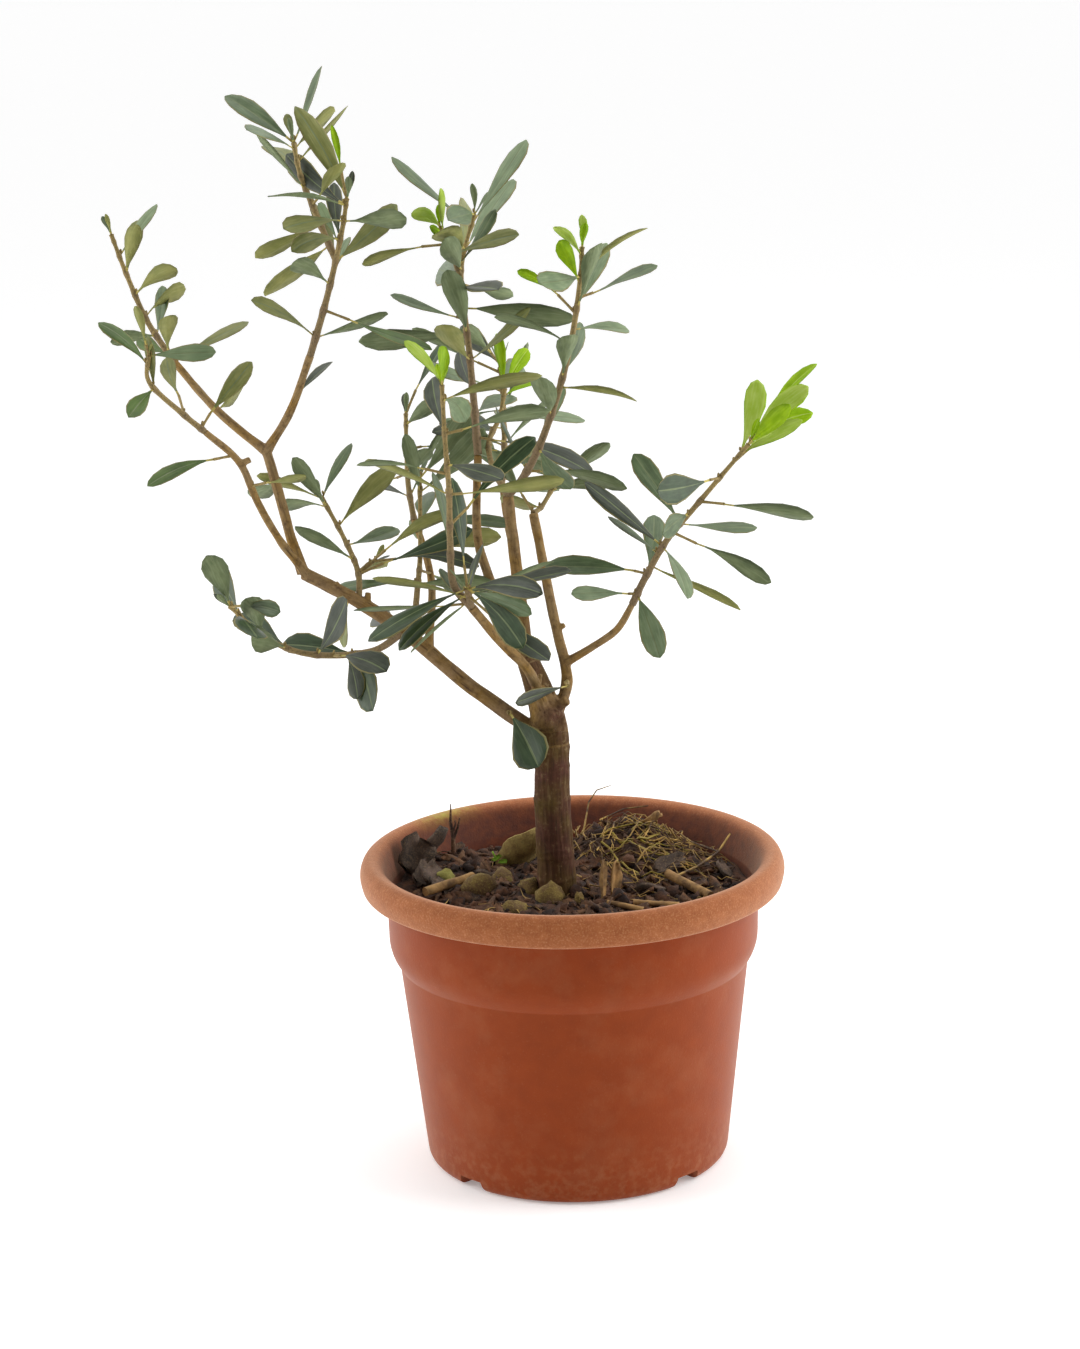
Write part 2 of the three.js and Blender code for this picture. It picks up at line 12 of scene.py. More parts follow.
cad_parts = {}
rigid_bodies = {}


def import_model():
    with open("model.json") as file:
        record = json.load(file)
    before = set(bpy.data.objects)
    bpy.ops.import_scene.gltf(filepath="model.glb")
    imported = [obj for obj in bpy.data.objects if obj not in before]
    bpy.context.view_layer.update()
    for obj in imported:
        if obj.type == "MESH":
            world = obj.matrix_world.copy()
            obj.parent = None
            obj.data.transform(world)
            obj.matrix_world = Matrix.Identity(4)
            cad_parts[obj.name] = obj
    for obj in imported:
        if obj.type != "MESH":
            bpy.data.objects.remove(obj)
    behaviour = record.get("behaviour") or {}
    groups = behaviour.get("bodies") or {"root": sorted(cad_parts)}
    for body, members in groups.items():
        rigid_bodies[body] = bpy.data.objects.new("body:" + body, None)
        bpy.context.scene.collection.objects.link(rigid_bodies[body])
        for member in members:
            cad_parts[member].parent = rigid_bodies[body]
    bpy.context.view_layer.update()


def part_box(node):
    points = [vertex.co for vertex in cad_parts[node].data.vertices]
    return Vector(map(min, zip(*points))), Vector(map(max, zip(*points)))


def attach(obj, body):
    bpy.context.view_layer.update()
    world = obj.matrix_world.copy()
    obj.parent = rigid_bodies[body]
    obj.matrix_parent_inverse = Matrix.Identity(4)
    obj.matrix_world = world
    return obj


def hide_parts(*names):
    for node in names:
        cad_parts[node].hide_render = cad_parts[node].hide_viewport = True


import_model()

# Pot: a nursery pot, injection-moulded in terracotta-coloured polypropylene. It has a rolled rim, a band,
# a sloping ledge, a tapered body and four drain notches in its foot, and stands loose on its flat underside.
MM = 0.001
RIM_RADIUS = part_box("pot")[1].x / MM
POT_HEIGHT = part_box("pot")[1].z / MM
CREST_RADIUS = 95
LIP_HEIGHT = 133
LIP_RADIUS = 98.4
BAND_TOP_RADIUS = 87.5
BAND_FOOT_RADIUS = 87
BAND_FOOT_HEIGHT = 103.5
LEDGE_RADIUS = 82.4
LEDGE_HEIGHT = 97
INNER_STEP = 4
FOOT_RADIUS = 71.4
WALL = 2.8
FLOOR = 8
# The section's corners: radius, height and how far each corner is rounded along its two sides.
POT_SECTION = [
    (0, 0, 0),
    (FOOT_RADIUS, 0, 5),
    (LEDGE_RADIUS, LEDGE_HEIGHT, 0.5),
    (BAND_FOOT_RADIUS, BAND_FOOT_HEIGHT, 6.5),
    (BAND_TOP_RADIUS, LIP_HEIGHT, 1.5),
    (LIP_RADIUS, LIP_HEIGHT, 2.5),
    (RIM_RADIUS + 0.6, POT_HEIGHT - 6, 4.5),
    (CREST_RADIUS + 1.5, POT_HEIGHT + 1, 4),
    (CREST_RADIUS - 5.5, POT_HEIGHT - 1.5, 3),
    (BAND_TOP_RADIUS - WALL, LIP_HEIGHT - 5, 5),
    (BAND_FOOT_RADIUS - WALL, BAND_FOOT_HEIGHT + INNER_STEP, 0),
    (LEDGE_RADIUS - WALL, LEDGE_HEIGHT - 2, 0),
    (FOOT_RADIUS - WALL, FLOOR, 0),
    (0, FLOOR, 0),
]
POT_SEGMENTS = 180
POT_STEP = 6
CORNER_STEPS = 6
SHARP_EDGE = 40
# Drain notches: their reach outwards, and their width and height just under the foot and at the top.
NOTCHES = 4
NOTCH_REACH = (62, 80)
NOTCH_ENDS = ((17, -1), (13, 5.5))


def linear(colour):
    """An sRGB hex colour as linear RGBA."""
    shares = [int(colour[i:i + 2], 16) / 255 for i in (1, 3, 5)]
    return [s / 12.92 if s <= 0.04045 else ((s + 0.055) / 1.055) ** 2.4 for s in shares] + [1]


def feed(tree, node, inputs):
    """Gives a node's sockets, by name or number, a value, a hex colour or a link from a socket or a node."""
    for socket, value in inputs.items():
        if isinstance(value, bpy.types.Node):
            value = next(output for output in value.outputs if output.enabled)
        if isinstance(value, bpy.types.NodeSocket):
            tree.links.new(value, node.inputs[socket])
        else:
            is_colour = isinstance(value, str) and value.startswith("#")
            node.inputs[socket].default_value = linear(value) if is_colour else value


def add_node(tree, kind, inputs=None, **settings):
    """A node with its settings and its inputs."""
    node = tree.nodes.new(kind)
    for name, value in settings.items():
        setattr(node, name, value)
    feed(tree, node, inputs or {})
    return node


def new_material(name):
    """A material with its node tree and its shader."""
    material = bpy.data.materials.new(name)
    material.use_nodes = True
    return material, material.node_tree, material.node_tree.nodes["Principled BSDF"]


def noise_masks(tree, noises, masks):
    """Noises and the masks made from them, by name, with the object's own place.

    A noise has its grain in millimetres, its detail and perhaps an attribute that it follows. A mask has the
    noise or attribute that it comes from, the two levels that it runs between and its shares at them.
    """
    made = {"place": add_node(tree, "ShaderNodeTexCoord").outputs["Object"]}
    for name, row in noises.items():
        vector = made["place"]
        if "follows" in row:
            vector = add_node(tree, "ShaderNodeAttribute", attribute_name=row["follows"]).outputs["Vector"]
        made[name] = add_node(tree, row.get("kind", "ShaderNodeTexNoise"), {
            "Vector": vector, "Scale": 1 / (row["mm"] * MM), "Detail": row["detail"],
            "Roughness": row.get("rough", 0.5),
        })
    for name, (source, low, high, first, last) in masks.items():
        if source not in made:
            made[source] = add_node(tree, "ShaderNodeAttribute", attribute_name=source).outputs["Fac"]
        made[name] = add_node(tree, "ShaderNodeMapRange", {
            0: made[source], 1: low, 2: high, 3: first, 4: last,
        })
    return made


def mesh_piece(name, vertices, faces, materials, face_slots=None):
    """An object at the origin, from vertices in millimetres and faces with their materials' numbers."""
    mesh = bpy.data.meshes.new(name)
    mesh.from_pydata((np.asarray(vertices, float) * MM).tolist(), [], faces)
    for material in materials:
        mesh.materials.append(material)
    if face_slots is not None:
        mesh.polygons.foreach_set("material_index", face_slots)
    mesh.shade_smooth()
    piece = bpy.data.objects.new(name, mesh)
    bpy.context.scene.collection.objects.link(piece)
    return piece


def made_plain(piece):
    """The piece with what its modifiers make as its own mesh."""
    bpy.context.view_layer.update()
    evaluated = piece.evaluated_get(bpy.context.evaluated_depsgraph_get())
    mesh = bpy.data.meshes.new_from_object(evaluated)
    piece.modifiers.clear()
    piece.data = mesh
    return piece


def rounded_section(corners):
    """Points along a line of corners: curves round the corners and short steps along the straights."""
    points = []
    places = [np.array(corner[:2], float) for corner in corners]
    for i, (_, _, rounding) in enumerate(corners):
        curve = [places[i]]
        if rounding:
            back = places[i - 1] - places[i]
            on = places[i + 1] - places[i]
            start = places[i] + back / np.linalg.norm(back) * rounding
            end = places[i] + on / np.linalg.norm(on) * rounding
            shares = np.linspace(0, 1, CORNER_STEPS + 1)[:, None]
            curve = (1 - shares) ** 2 * start + 2 * shares * (1 - shares) * places[i] + shares ** 2 * end
        if points:
            last = points[-1]
            run = curve[0] - last
            steps = max(1, math.ceil(np.linalg.norm(run) / POT_STEP))
            points.extend(last + run * step / steps for step in range(1, steps))
        points.extend(curve)
    return np.array(points)


def turned(section, segments):
    """Vertices and faces of a section that starts and ends on the vertical axis, turned round it."""
    angles = np.linspace(0, 2 * math.pi, segments, endpoint=False)
    rings = section[1:-1]
    x = rings[:, :1] * np.cos(angles)
    y = rings[:, :1] * np.sin(angles)
    z = np.repeat(rings[:, 1:], segments, axis=1)
    vertices = np.stack([x, y, z], axis=2).reshape(-1, 3).tolist()
    faces = []
    for low in range(0, (len(rings) - 1) * segments, segments):
        high = low + segments
        for i in range(segments):
            j = (i + 1) % segments
            faces.append((low + i, low + j, high + j, high + i))
    faces.append(tuple(range(segments - 1, -1, -1)))
    faces.append(tuple(range(len(vertices) - segments, len(vertices))))
    return vertices, faces


def notch_cutter():
    """The four drain notches as prisms, wider at the foot than at the top."""
    vertices = []
    faces = []
    for i in range(NOTCHES):
        turn = Matrix.Rotation((i + 0.5) * 2 * math.pi / NOTCHES, 3, "Z")
        first = len(vertices)
        for reach in NOTCH_REACH:
            for width, height in NOTCH_ENDS:
                for side in (-width / 2, width / 2):
                    vertices.append(turn @ Vector((reach, side, height)))
        for face in ((0, 2, 3, 1), (4, 5, 7, 6), (0, 1, 5, 4), (2, 6, 7, 3), (0, 4, 6, 2), (1, 3, 7, 5)):
            faces.append(tuple(first + corner for corner in face))
    return mesh_piece("notches", vertices, faces, [])


# Moulded polypropylene: half matt, dusty rose at a glance and full orange-brown face on, with a fine
# mottle. The rim has bleached to a grainy tan, the foot is scuffed and dusty, and the back rim is mossy.
# The inner lip and the inner wall are darker and duller, partly dirt and partly painted shade.
POT_DEEP = "#80340F"
POT_FRESH = "#923D11"
POT_DUST = "#AC7350"
POT_BLOOM = "#FFDDC0"
RIM_DARK = "#8B4C28"
RIM_PALE = "#A36038"
RIM_CHALK = "#C98E60"
RIM_MOSS = "#9C9A3C"
# Interior colours of the inner lip and inner wall: partly dirt, partly painted shade in the pot's interior.
INSIDE_DIRT_AND_SHADE_DARK = "#55302A"
INSIDE_DIRT_AND_SHADE_PALE = "#7C432C"
POT_NOISES = {
    "mottle": dict(mm=9, detail=5),
    "grain": dict(mm=0.9, detail=3),
    "scuff": dict(mm=4, detail=6),
    "smear": dict(mm=30, detail=6, rough=0.65),
    "chalk": dict(mm=0.8, detail=3),
}
POT_MASKS = {
    "specks": ("grain", 0.6, 0.85, 0, 0.2),
    "pits": ("grain", 0.3, 0.46, 0.55, 0),
    "scuffs": ("scuff", 0.45, 0.75, 0, 1),
    "weather": ("scuff", 0.25, 0.8, 0, 1),
    "smears": ("smear", 0.5, 0.75, 0, 0.18),
    "chalky": ("chalk", 0.5, 0.72, 0, 0.42),
}
DUST_HEIGHT = 34
DUST_SHARE = 0.5
MOSS_PLACE = (-64, 70, 147)
MOSS_REACH = 24
MOSS_SHARE = 1.3
GRAIN_DEPTH = 0.3
# Heights where the rim starts, radii where its crest turns inwards, and the inner wall's radius and foot.
RIM_FROM = (LIP_HEIGHT - 1, LIP_HEIGHT - 0.4)
CREST_TURNS = (BAND_TOP_RADIUS + 0.5, CREST_RADIUS - 3)
INNER_WALL_RADIUS = BAND_TOP_RADIUS - WALL / 2
INNER_WALL_FROM = LIP_HEIGHT - 20
# On the body and on the weathered rim: roughness, share of dusty bloom and strength of the grain.
POT_ROUGH = (0.46, 0.72)
POT_SHEEN = (0.17, 0.5)
POT_GRAIN = (0.25, 0.6)
pot_plastic, tree, shader = new_material("terracotta_polypropylene")
made = noise_masks(tree, POT_NOISES, POT_MASKS)
height = add_node(tree, "ShaderNodeSeparateXYZ", {0: made["place"]}).outputs[2]
across = add_node(tree, "ShaderNodeVectorMath", {0: made["place"], 1: (1, 1, 0)}, operation="MULTIPLY")
radius = add_node(tree, "ShaderNodeVectorMath", {0: across}, operation="LENGTH")
low = add_node(tree, "ShaderNodeMapRange", {0: height, 1: 0, 2: DUST_HEIGHT * MM, 3: DUST_SHARE, 4: 0})
dusty = add_node(tree, "ShaderNodeMath", {0: low, 1: made["scuffs"]}, operation="MULTIPLY")
on_rim = add_node(tree, "ShaderNodeMapRange", {0: height, 1: RIM_FROM[0] * MM, 2: RIM_FROM[1] * MM})
# Inward of the crest the rim turns to the darker interior colour, partly dirt and partly painted shade.
within = add_node(tree, "ShaderNodeMapRange", {
    0: radius, 1: CREST_TURNS[0] * MM, 2: CREST_TURNS[1] * MM, 3: 1, 4: 0,
})
# The inner wall takes the darker interior colour, partly dirt and partly painted shade.
inner = add_node(tree, "ShaderNodeMath", {0: radius, 1: INNER_WALL_RADIUS * MM}, operation="LESS_THAN")
upper = add_node(tree, "ShaderNodeMath", {0: height, 1: INNER_WALL_FROM * MM}, operation="GREATER_THAN")
inner_wall_dirt_and_shade = add_node(tree, "ShaderNodeMath", {0: inner, 1: upper}, operation="MULTIPLY")
from_moss = add_node(tree, "ShaderNodeVectorMath", {
    0: made["place"], 1: [length * MM for length in MOSS_PLACE],
}, operation="DISTANCE")
near_moss = add_node(tree, "ShaderNodeMapRange", {
    0: from_moss, 1: 0, 2: MOSS_REACH * MM, 3: MOSS_SHARE, 4: 0,
})
mossy = add_node(tree, "ShaderNodeMath", {0: near_moss, 1: made["weather"]}, operation="MULTIPLY")
colour, rim, interior_dirt_and_shade = (
    add_node(tree, "ShaderNodeMix", {0: made[mask], 6: first, 7: second}, data_type="RGBA")
    for mask, first, second in (
        ("mottle", POT_DEEP, POT_FRESH),
        ("weather", RIM_DARK, RIM_PALE),
        ("weather", INSIDE_DIRT_AND_SHADE_DARK, INSIDE_DIRT_AND_SHADE_PALE),
    )
)
for mask, over in (
    (made["pits"], RIM_DARK), (made["chalky"], RIM_CHALK), (mossy, RIM_MOSS), (within, interior_dirt_and_shade),
):
    rim = add_node(tree, "ShaderNodeMix", {0: mask, 6: rim, 7: over}, data_type="RGBA")
for mask, over in (
    (made["specks"], POT_DUST), (made["smears"], POT_DUST), (dusty, POT_DUST),
    (on_rim, rim), (inner_wall_dirt_and_shade, interior_dirt_and_shade),
):
    colour = add_node(tree, "ShaderNodeMix", {0: mask, 6: colour, 7: over}, data_type="RGBA")
rough, sheen, grainy = (
    add_node(tree, "ShaderNodeMapRange", {0: on_rim, 3: body, 4: rim})
    for body, rim in (POT_ROUGH, POT_SHEEN, POT_GRAIN)
)
feed(tree, shader, {
    "Base Color": colour, "Roughness": rough, "Specular IOR Level": 0.1,
    "Sheen Weight": sheen, "Sheen Roughness": 0.5, "Sheen Tint": POT_BLOOM,
    "Normal": add_node(tree, "ShaderNodeBump", {
        "Strength": grainy, "Distance": GRAIN_DEPTH * MM, "Height": made["grain"],
    }),
})

pot = mesh_piece("pot_shell", *turned(rounded_section(POT_SECTION), POT_SEGMENTS), [pot_plastic])
cutter = notch_cutter()
cut = pot.modifiers.new("drain_notches", "BOOLEAN")
cut.operation = "DIFFERENCE"
cut.object = cutter
made_plain(pot)
bpy.data.objects.remove(cutter)
pot.data.set_sharp_from_angle(angle=math.radians(SHARP_EDGE))
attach(pot, "root")
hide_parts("pot")

# Mulch: damp composted bark that fills the pot to just under its rim, heaped at the back. On it lie crumbs,
# flakes of bark, a tangle of straw and dead roots, mossy stones, twigs and a few dead leaves.
SOIL_LEVEL = 131
SOIL_FLAT_RADIUS = 40
SOIL_EDGE_DROP = 3
BED_RADIUS = BAND_TOP_RADIUS - WALL - 0.2
BED_DEPTH = 24
BED_RINGS = 44
BED_SEGMENTS = 130
# Unevenness: how far apart its lumps are, how high they stand and where in the noise they are cut.
BED_LUMPS = ((11, 2.4, 3), (3, 1.1, 7))
# Heaps: where each lies, how far it spreads and how high it stands.
HEAPS = [
    ((26, 50), 24, 16),
    ((-62, 34), 20, 8),
    ((-26, 40), 22, 3),
    ((62, 26), 22, 3),
    ((-30, -6), 16, 3),
]


def bed_height(x, y):
    """The mulch's height at a place in plan."""
    edge = max(0, math.hypot(x, y) - SOIL_FLAT_RADIUS) / (BED_RADIUS - SOIL_FLAT_RADIUS)
    height = SOIL_LEVEL - SOIL_EDGE_DROP * edge
    for (heap_x, heap_y), spread, rise in HEAPS:
        height += rise * math.exp(-((x - heap_x) ** 2 + (y - heap_y) ** 2) / spread ** 2)
    for apart, rise, level in BED_LUMPS:
        height += rise * noise.noise((x / apart, y / apart, level))
    return height


def finish(name, rough, noises, masks, ground, layers=(), bump=None, gloss=0.5):
    """A material in two ground colours, with others laid over them, each by its mask.

    A ground is a mask and the two colours it runs between, and a layer may be one too. bump is a noise, its
    strength and its depth in millimetres.
    """
    material, tree, shader = new_material(name)
    made = noise_masks(tree, noises, masks)
    mask, first, second = ground
    colour = add_node(tree, "ShaderNodeMix", {0: made[mask], 6: first, 7: second}, data_type="RGBA")
    for mask, over in layers:
        if not isinstance(over, str):
            under, first, second = over
            over = add_node(tree, "ShaderNodeMix", {0: made[under], 6: first, 7: second}, data_type="RGBA")
        colour = add_node(tree, "ShaderNodeMix", {0: made[mask], 6: colour, 7: over}, data_type="RGBA")
    feed(tree, shader, {"Base Color": colour, "Roughness": rough, "Specular IOR Level": gloss})
    if bump:
        relief, strength, depth = bump
        feed(tree, shader, {"Normal": add_node(tree, "ShaderNodeBump", {
            "Strength": strength, "Distance": depth * MM, "Height": made[relief],
        })})
    return material


# Composted bark: nearly black where it is damp, browner on its dry crumbs, and dull all over.
mulch = finish(
    "composted_bark", 0.9,
    noises={"clods": dict(mm=7, detail=6), "crumbs": dict(mm=1.2, detail=3)},
    masks={"dry": ("clods", 0.4, 0.68, 0, 1)},
    ground=("dry", "#271710", "#5F3B23"),
    bump=("crumbs", 0.8, 0.8),
)
bed_section = [(0, SOIL_LEVEL - BED_DEPTH), (BED_RADIUS, SOIL_LEVEL - BED_DEPTH)]
bed_section += [(radius, SOIL_LEVEL) for radius in np.linspace(BED_RADIUS, 0, BED_RINGS + 1)]
bed_vertices, bed_faces = turned(np.array(bed_section), BED_SEGMENTS)
for vertex in bed_vertices[BED_SEGMENTS:]:
    vertex[2] = bed_height(*vertex[:2])
bed = mesh_piece("mulch_bed", bed_vertices, bed_faces, [mulch])
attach(bed, "root")
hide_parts("soil")

# Litter on the mulch: loose crumbs and clods of it, and flakes and chips of bark, strewn over the bed by a
# scatter of instances. They lie clear of the pot's wall and of the trunk.
LITTER_CLEAR_OF_TRUNK = 11
TRUNK_FOOT = (-7, -9)
LUMPS_APART = 1.3
PLATE_LEAST_END = 0.12
PLATE_WAVE = 0.12
PLATE_DIP = 0.3


def joined(shapes):
    """Several shapes, each a list of vertices and a list of faces, as one."""
    vertices = []
    faces = []
    for shape_vertices, shape_faces in shapes:
        first = len(vertices)
        vertices.extend(shape_vertices)
        faces.extend(tuple(first + corner for corner in face) for face in shape_faces)
    return vertices, faces


def lump(sizes, seed, rings=5, sides=7, ragged=0.35):
    """A rough stone or crumb of these sizes round the origin."""
    points = []
    for ring in range(1, rings):
        slope = math.pi * ring / rings
        for side in range(sides):
            turn = 2 * math.pi * (side + 0.5 * (ring % 2)) / sides
            out = math.sin(slope)
            points.append((out * math.cos(turn), out * math.sin(turn), math.cos(slope)))
    points += [(0, 0, 1), (0, 0, -1)]
    vertices = []
    for x, y, z in points:
        swell = 1 + ragged * noise.noise((LUMPS_APART * x + seed, LUMPS_APART * y, LUMPS_APART * z))
        vertices.append([along * swell * size / 2 for along, size in zip((x, y, z), sizes)])
    top = len(points) - 2
    faces = []
    for side in range(sides):
        on = (side + 1) % sides
        faces.append((top, side, on))
        faces.append((top + 1, (rings - 2) * sides + on, (rings - 2) * sides + side))
        for a in range(0, (rings - 2) * sides, sides):
            b = a + sides
            faces.append((a + side, b + side, b + on, a + on))
    return vertices, faces


def plate(length, width, thick, curl, seed, steps=5, sides=4, ragged=0.3):
    """A flake or curled leaf that lies along X, bent across by curl, with a ragged outline."""
    layers = []
    for layer in (0, 1):
        for step in range(steps + 1):
            along = step / steps - 0.5
            round_off = math.sqrt(max(PLATE_LEAST_END, 1 - (2 * along) ** 4))
            for side in range(sides + 1):
                out = side / sides - 0.5
                edge = 1 + ragged * noise.noise((4 * along + seed, 4 * out, 2.5))
                wave = PLATE_WAVE * length * noise.noise((3 * along, 3 * out, seed))
                z = curl * width * (4 * out * out - PLATE_DIP) + wave
                layers.append([length * along * edge, width * out * round_off * edge, z - layer * thick])
    row = sides + 1
    below = row * (steps + 1)
    faces = []
    for step in range(steps):
        for side in range(sides):
            a = step * row + side
            faces.append((a, a + row, a + row + 1, a + 1))
            faces.append((below + a, below + a + 1, below + a + row + 1, below + a + row))
    rim = [side for side in range(sides)]
    rim += [step * row + sides for step in range(steps)]
    rim += [steps * row + side for side in range(sides, 0, -1)]
    rim += [step * row for step in range(steps, 0, -1)]
    for a, b in zip(rim, rim[1:] + rim[:1]):
        faces.append((a, b, below + b, below + a))
    return layers, faces


# Bark flakes: grey-brown outside and warmer where they have split, dry and dull.
SPLIT_BARK = dict(
    rough=0.85,
    noises={"patches": dict(mm=9, detail=4), "fibre": dict(mm=0.9, detail=4)},
    masks={"split": ("patches", 0.35, 0.65, 0, 1), "streaks": ("fibre", 0.5, 0.8, 0, 0.6)},
    layers=[("streaks", "#8F7454")],
    bump=("fibre", 0.6, 0.5),
)
split_bark = finish("split_bark", ground=("split", "#33221A", "#6F492B"), **SPLIT_BARK)


def node_group(name, inputs, output):
    """A geometry tree with its input sockets, their identifiers by name, and the group input's outputs."""
    group = bpy.data.node_groups.new(name, "GeometryNodeTree")
    sockets = {}
    for socket, kind in inputs.items():
        made = group.interface.new_socket(socket, in_out="INPUT", socket_type="NodeSocket" + kind)
        sockets[socket] = made.identifier
    group.interface.new_socket(output, in_out="OUTPUT", socket_type="NodeSocketGeometry")
    return group, sockets, add_node(group, "NodeGroupInput").outputs


scatter, scatter_sockets, given = node_group("litter_over_bed", {
    "Bed": "Geometry", "Shapes": "Collection", "Density": "Float", "Smallest": "Float", "Largest": "Float",
    "Tilt": "Float", "Seed": "Int", "Finish": "Material",
}, "Litter")
lie = add_node(scatter, "GeometryNodeInputNamedAttribute", {"Name": "lie"}, data_type="FLOAT")
density = add_node(scatter, "ShaderNodeMath", {0: given["Density"], 1: lie}, operation="MULTIPLY")
points = add_node(scatter, "GeometryNodeDistributePointsOnFaces", {
    "Mesh": given["Bed"], "Density": density, "Seed": given["Seed"],
})
down = add_node(scatter, "ShaderNodeMath", {0: given["Tilt"], 1: -1}, operation="MULTIPLY")
least = add_node(scatter, "ShaderNodeCombineXYZ", {0: down, 1: down})
most = add_node(scatter, "ShaderNodeCombineXYZ", {0: given["Tilt"], 1: given["Tilt"], 2: 2 * math.pi})
turns = add_node(scatter, "FunctionNodeRandomValue", {
    0: least, 1: most, "Seed": given["Seed"],
}, data_type="FLOAT_VECTOR")
spun = add_node(scatter, "FunctionNodeEulerToRotation", {0: turns})
lying = add_node(scatter, "FunctionNodeRotateRotation", {
    0: points.outputs["Rotation"], 1: spun,
}, rotation_space="LOCAL")
sizes = add_node(scatter, "FunctionNodeRandomValue", {
    2: given["Smallest"], 3: given["Largest"], "Seed": given["Seed"],
}, data_type="FLOAT")
shapes = add_node(scatter, "GeometryNodeCollectionInfo", {
    "Collection": given["Shapes"], "Separate Children": True, "Reset Children": True,
})
strewn = add_node(scatter, "GeometryNodeInstanceOnPoints", {
    "Points": points, "Instance": shapes, "Pick Instance": True, "Rotation": lying, "Scale": sizes,
})
loose = add_node(scatter, "GeometryNodeRealizeInstances", {0: strewn})
dressed = add_node(scatter, "GeometryNodeSetMaterial", {0: loose, "Material": given["Finish"]})
add_node(scatter, "NodeGroupOutput", {0: dressed})

# Each kind of litter: how far it keeps from the wall, how many lie on a square millimetre, their least and
# greatest size, how far they tilt, the scatter's seed, the material and the shapes.
LITTER = [
    dict(
        name="mulch_crumbs", clear=4, density=0.075, sizes=(0.6, 1.7), tilt=180, seed=4, material=mulch,
        shapes=[lump((2.4, 1.9, 1.6), seed, 4, 6) for seed in range(4)],
    ),
    dict(
        name="bark_flakes", clear=7.5, density=0.0125, sizes=(0.6, 1.3), tilt=35, seed=9, material=split_bark,
        shapes=[plate(8 + seed, 5 - 0.4 * seed, 0.9, 0.1, seed, 4, 2) for seed in range(5)],
    ),
    dict(
        name="mulch_clods", clear=7.5, density=0.0085, sizes=(0.55, 1.35), tilt=180, seed=21, material=mulch,
        shapes=[lump((8, 6.5, 5), seed, 5, 7, 0.7) for seed in range(4)],
    ),
    dict(
        name="bark_chips", clear=15, density=0.0042, sizes=(0.6, 1.2), tilt=30, seed=33, material=split_bark,
        shapes=[plate(15 + 2 * seed, 5 - 0.4 * seed, 1.6, 0.06, 60 + seed, 5, 3) for seed in range(5)],
    ),
]


def strewn_over(ground, row):
    """A row's shapes strewn as one piece over a mesh, where its lie attribute is 1."""
    group = bpy.data.collections.new(row["name"] + "_shapes")
    for i, shape in enumerate(row["shapes"]):
        example = mesh_piece(f"{row['name']}_{i}", *shape, [])
        bpy.context.scene.collection.objects.unlink(example)
        group.objects.link(example)
    litter = bpy.data.objects.new(row["name"], ground.data.copy())
    bpy.context.scene.collection.objects.link(litter)
    strew = litter.modifiers.new("strew", "NODES")
    strew.node_group = scatter
    for socket, value in (
        ("Shapes", group), ("Density", row["density"] / MM ** 2), ("Smallest", row["sizes"][0]),
        ("Largest", row["sizes"][1]), ("Tilt", math.radians(row["tilt"])), ("Seed", row["seed"]),
        ("Finish", row["material"]),
    ):
        strew[scatter_sockets[socket]] = value
    made_plain(litter)
    for example in list(group.objects):
        bpy.data.objects.remove(example)
    bpy.data.collections.remove(group)
    return litter


bed.data.attributes.new("lie", "FLOAT", "POINT")
for row in LITTER:
    for i, vertex in enumerate(bed_vertices):
        off_wall = math.hypot(*vertex[:2]) < BED_RADIUS - row["clear"]
        off_trunk = math.dist(vertex[:2], TRUNK_FOOT) > LITTER_CLEAR_OF_TRUNK
        bed.data.attributes["lie"].data[i].value = float(i >= 2 * BED_SEGMENTS and off_wall and off_trunk)
    litter = strewn_over(bed, row)
    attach(litter, "root")

# Straw and dead roots: a tangle of fine stalks over the heap behind the trunk, with a few green roots that
# still live, stray stalks over the bed and thin dead stems against the wall. They lie loose on the mulch.
STALK_BEND = 32
STALK_TAPER = 0.6
STALK_CLEAR_OF_WALL = 2
STALK_SIDES = 5
# The heap of straw: middle and spread in plan, spread of bearings, steps, radii and heights over the mulch.
STRAW_COUNT = 115
STRAW_HEAP = (26, 40)
STRAW_SPREAD = (23, 20)
STRAW_BEARING_SPREAD = 45
STRAW_STEPS = (4, 9)
STRAW_STEP = 5
STRAW_RADIUS = (0.18, 0.44)
STRAW_LIFT = (0.3, 6.5)
# Stray stalks and green roots: how many, where in plan, bearing, steps, their length, radii and heights.
STRAYS = (60, (-70, 70), (-50, 60), (0, 360), 5, 4, (0.2, 0.35), (0.3, 2))
GREEN_ROOTS = (10, (4, 30), (22, 40), (-25, 25), 8, 5, (0.4, 0.65), (1.5, 4.5))
# A forked dead stalk at the right, and the thin stalks that stand up against the back wall: places and radii.
DEAD_STEMS = [
    [((76, 30, 146), 0.45), ((70, 24, 139), 0.6), ((60, 12, 136), 0.6), ((49, 3, 134), 0.6)],
    [((70, 24, 139), 0.5), ((58, 34, 141), 0.4), ((50, 44, 144), 0.3)],
    [((6, 66, 138), 0.5), ((9, 76, 150), 0.4), ((13, 79, 155), 0.35), ((20, 80, 157), 0.2)],
    [((14, 58, 146), 0.4), ((26, 66, 149), 0.35), ((38, 67, 150), 0.3)],
]

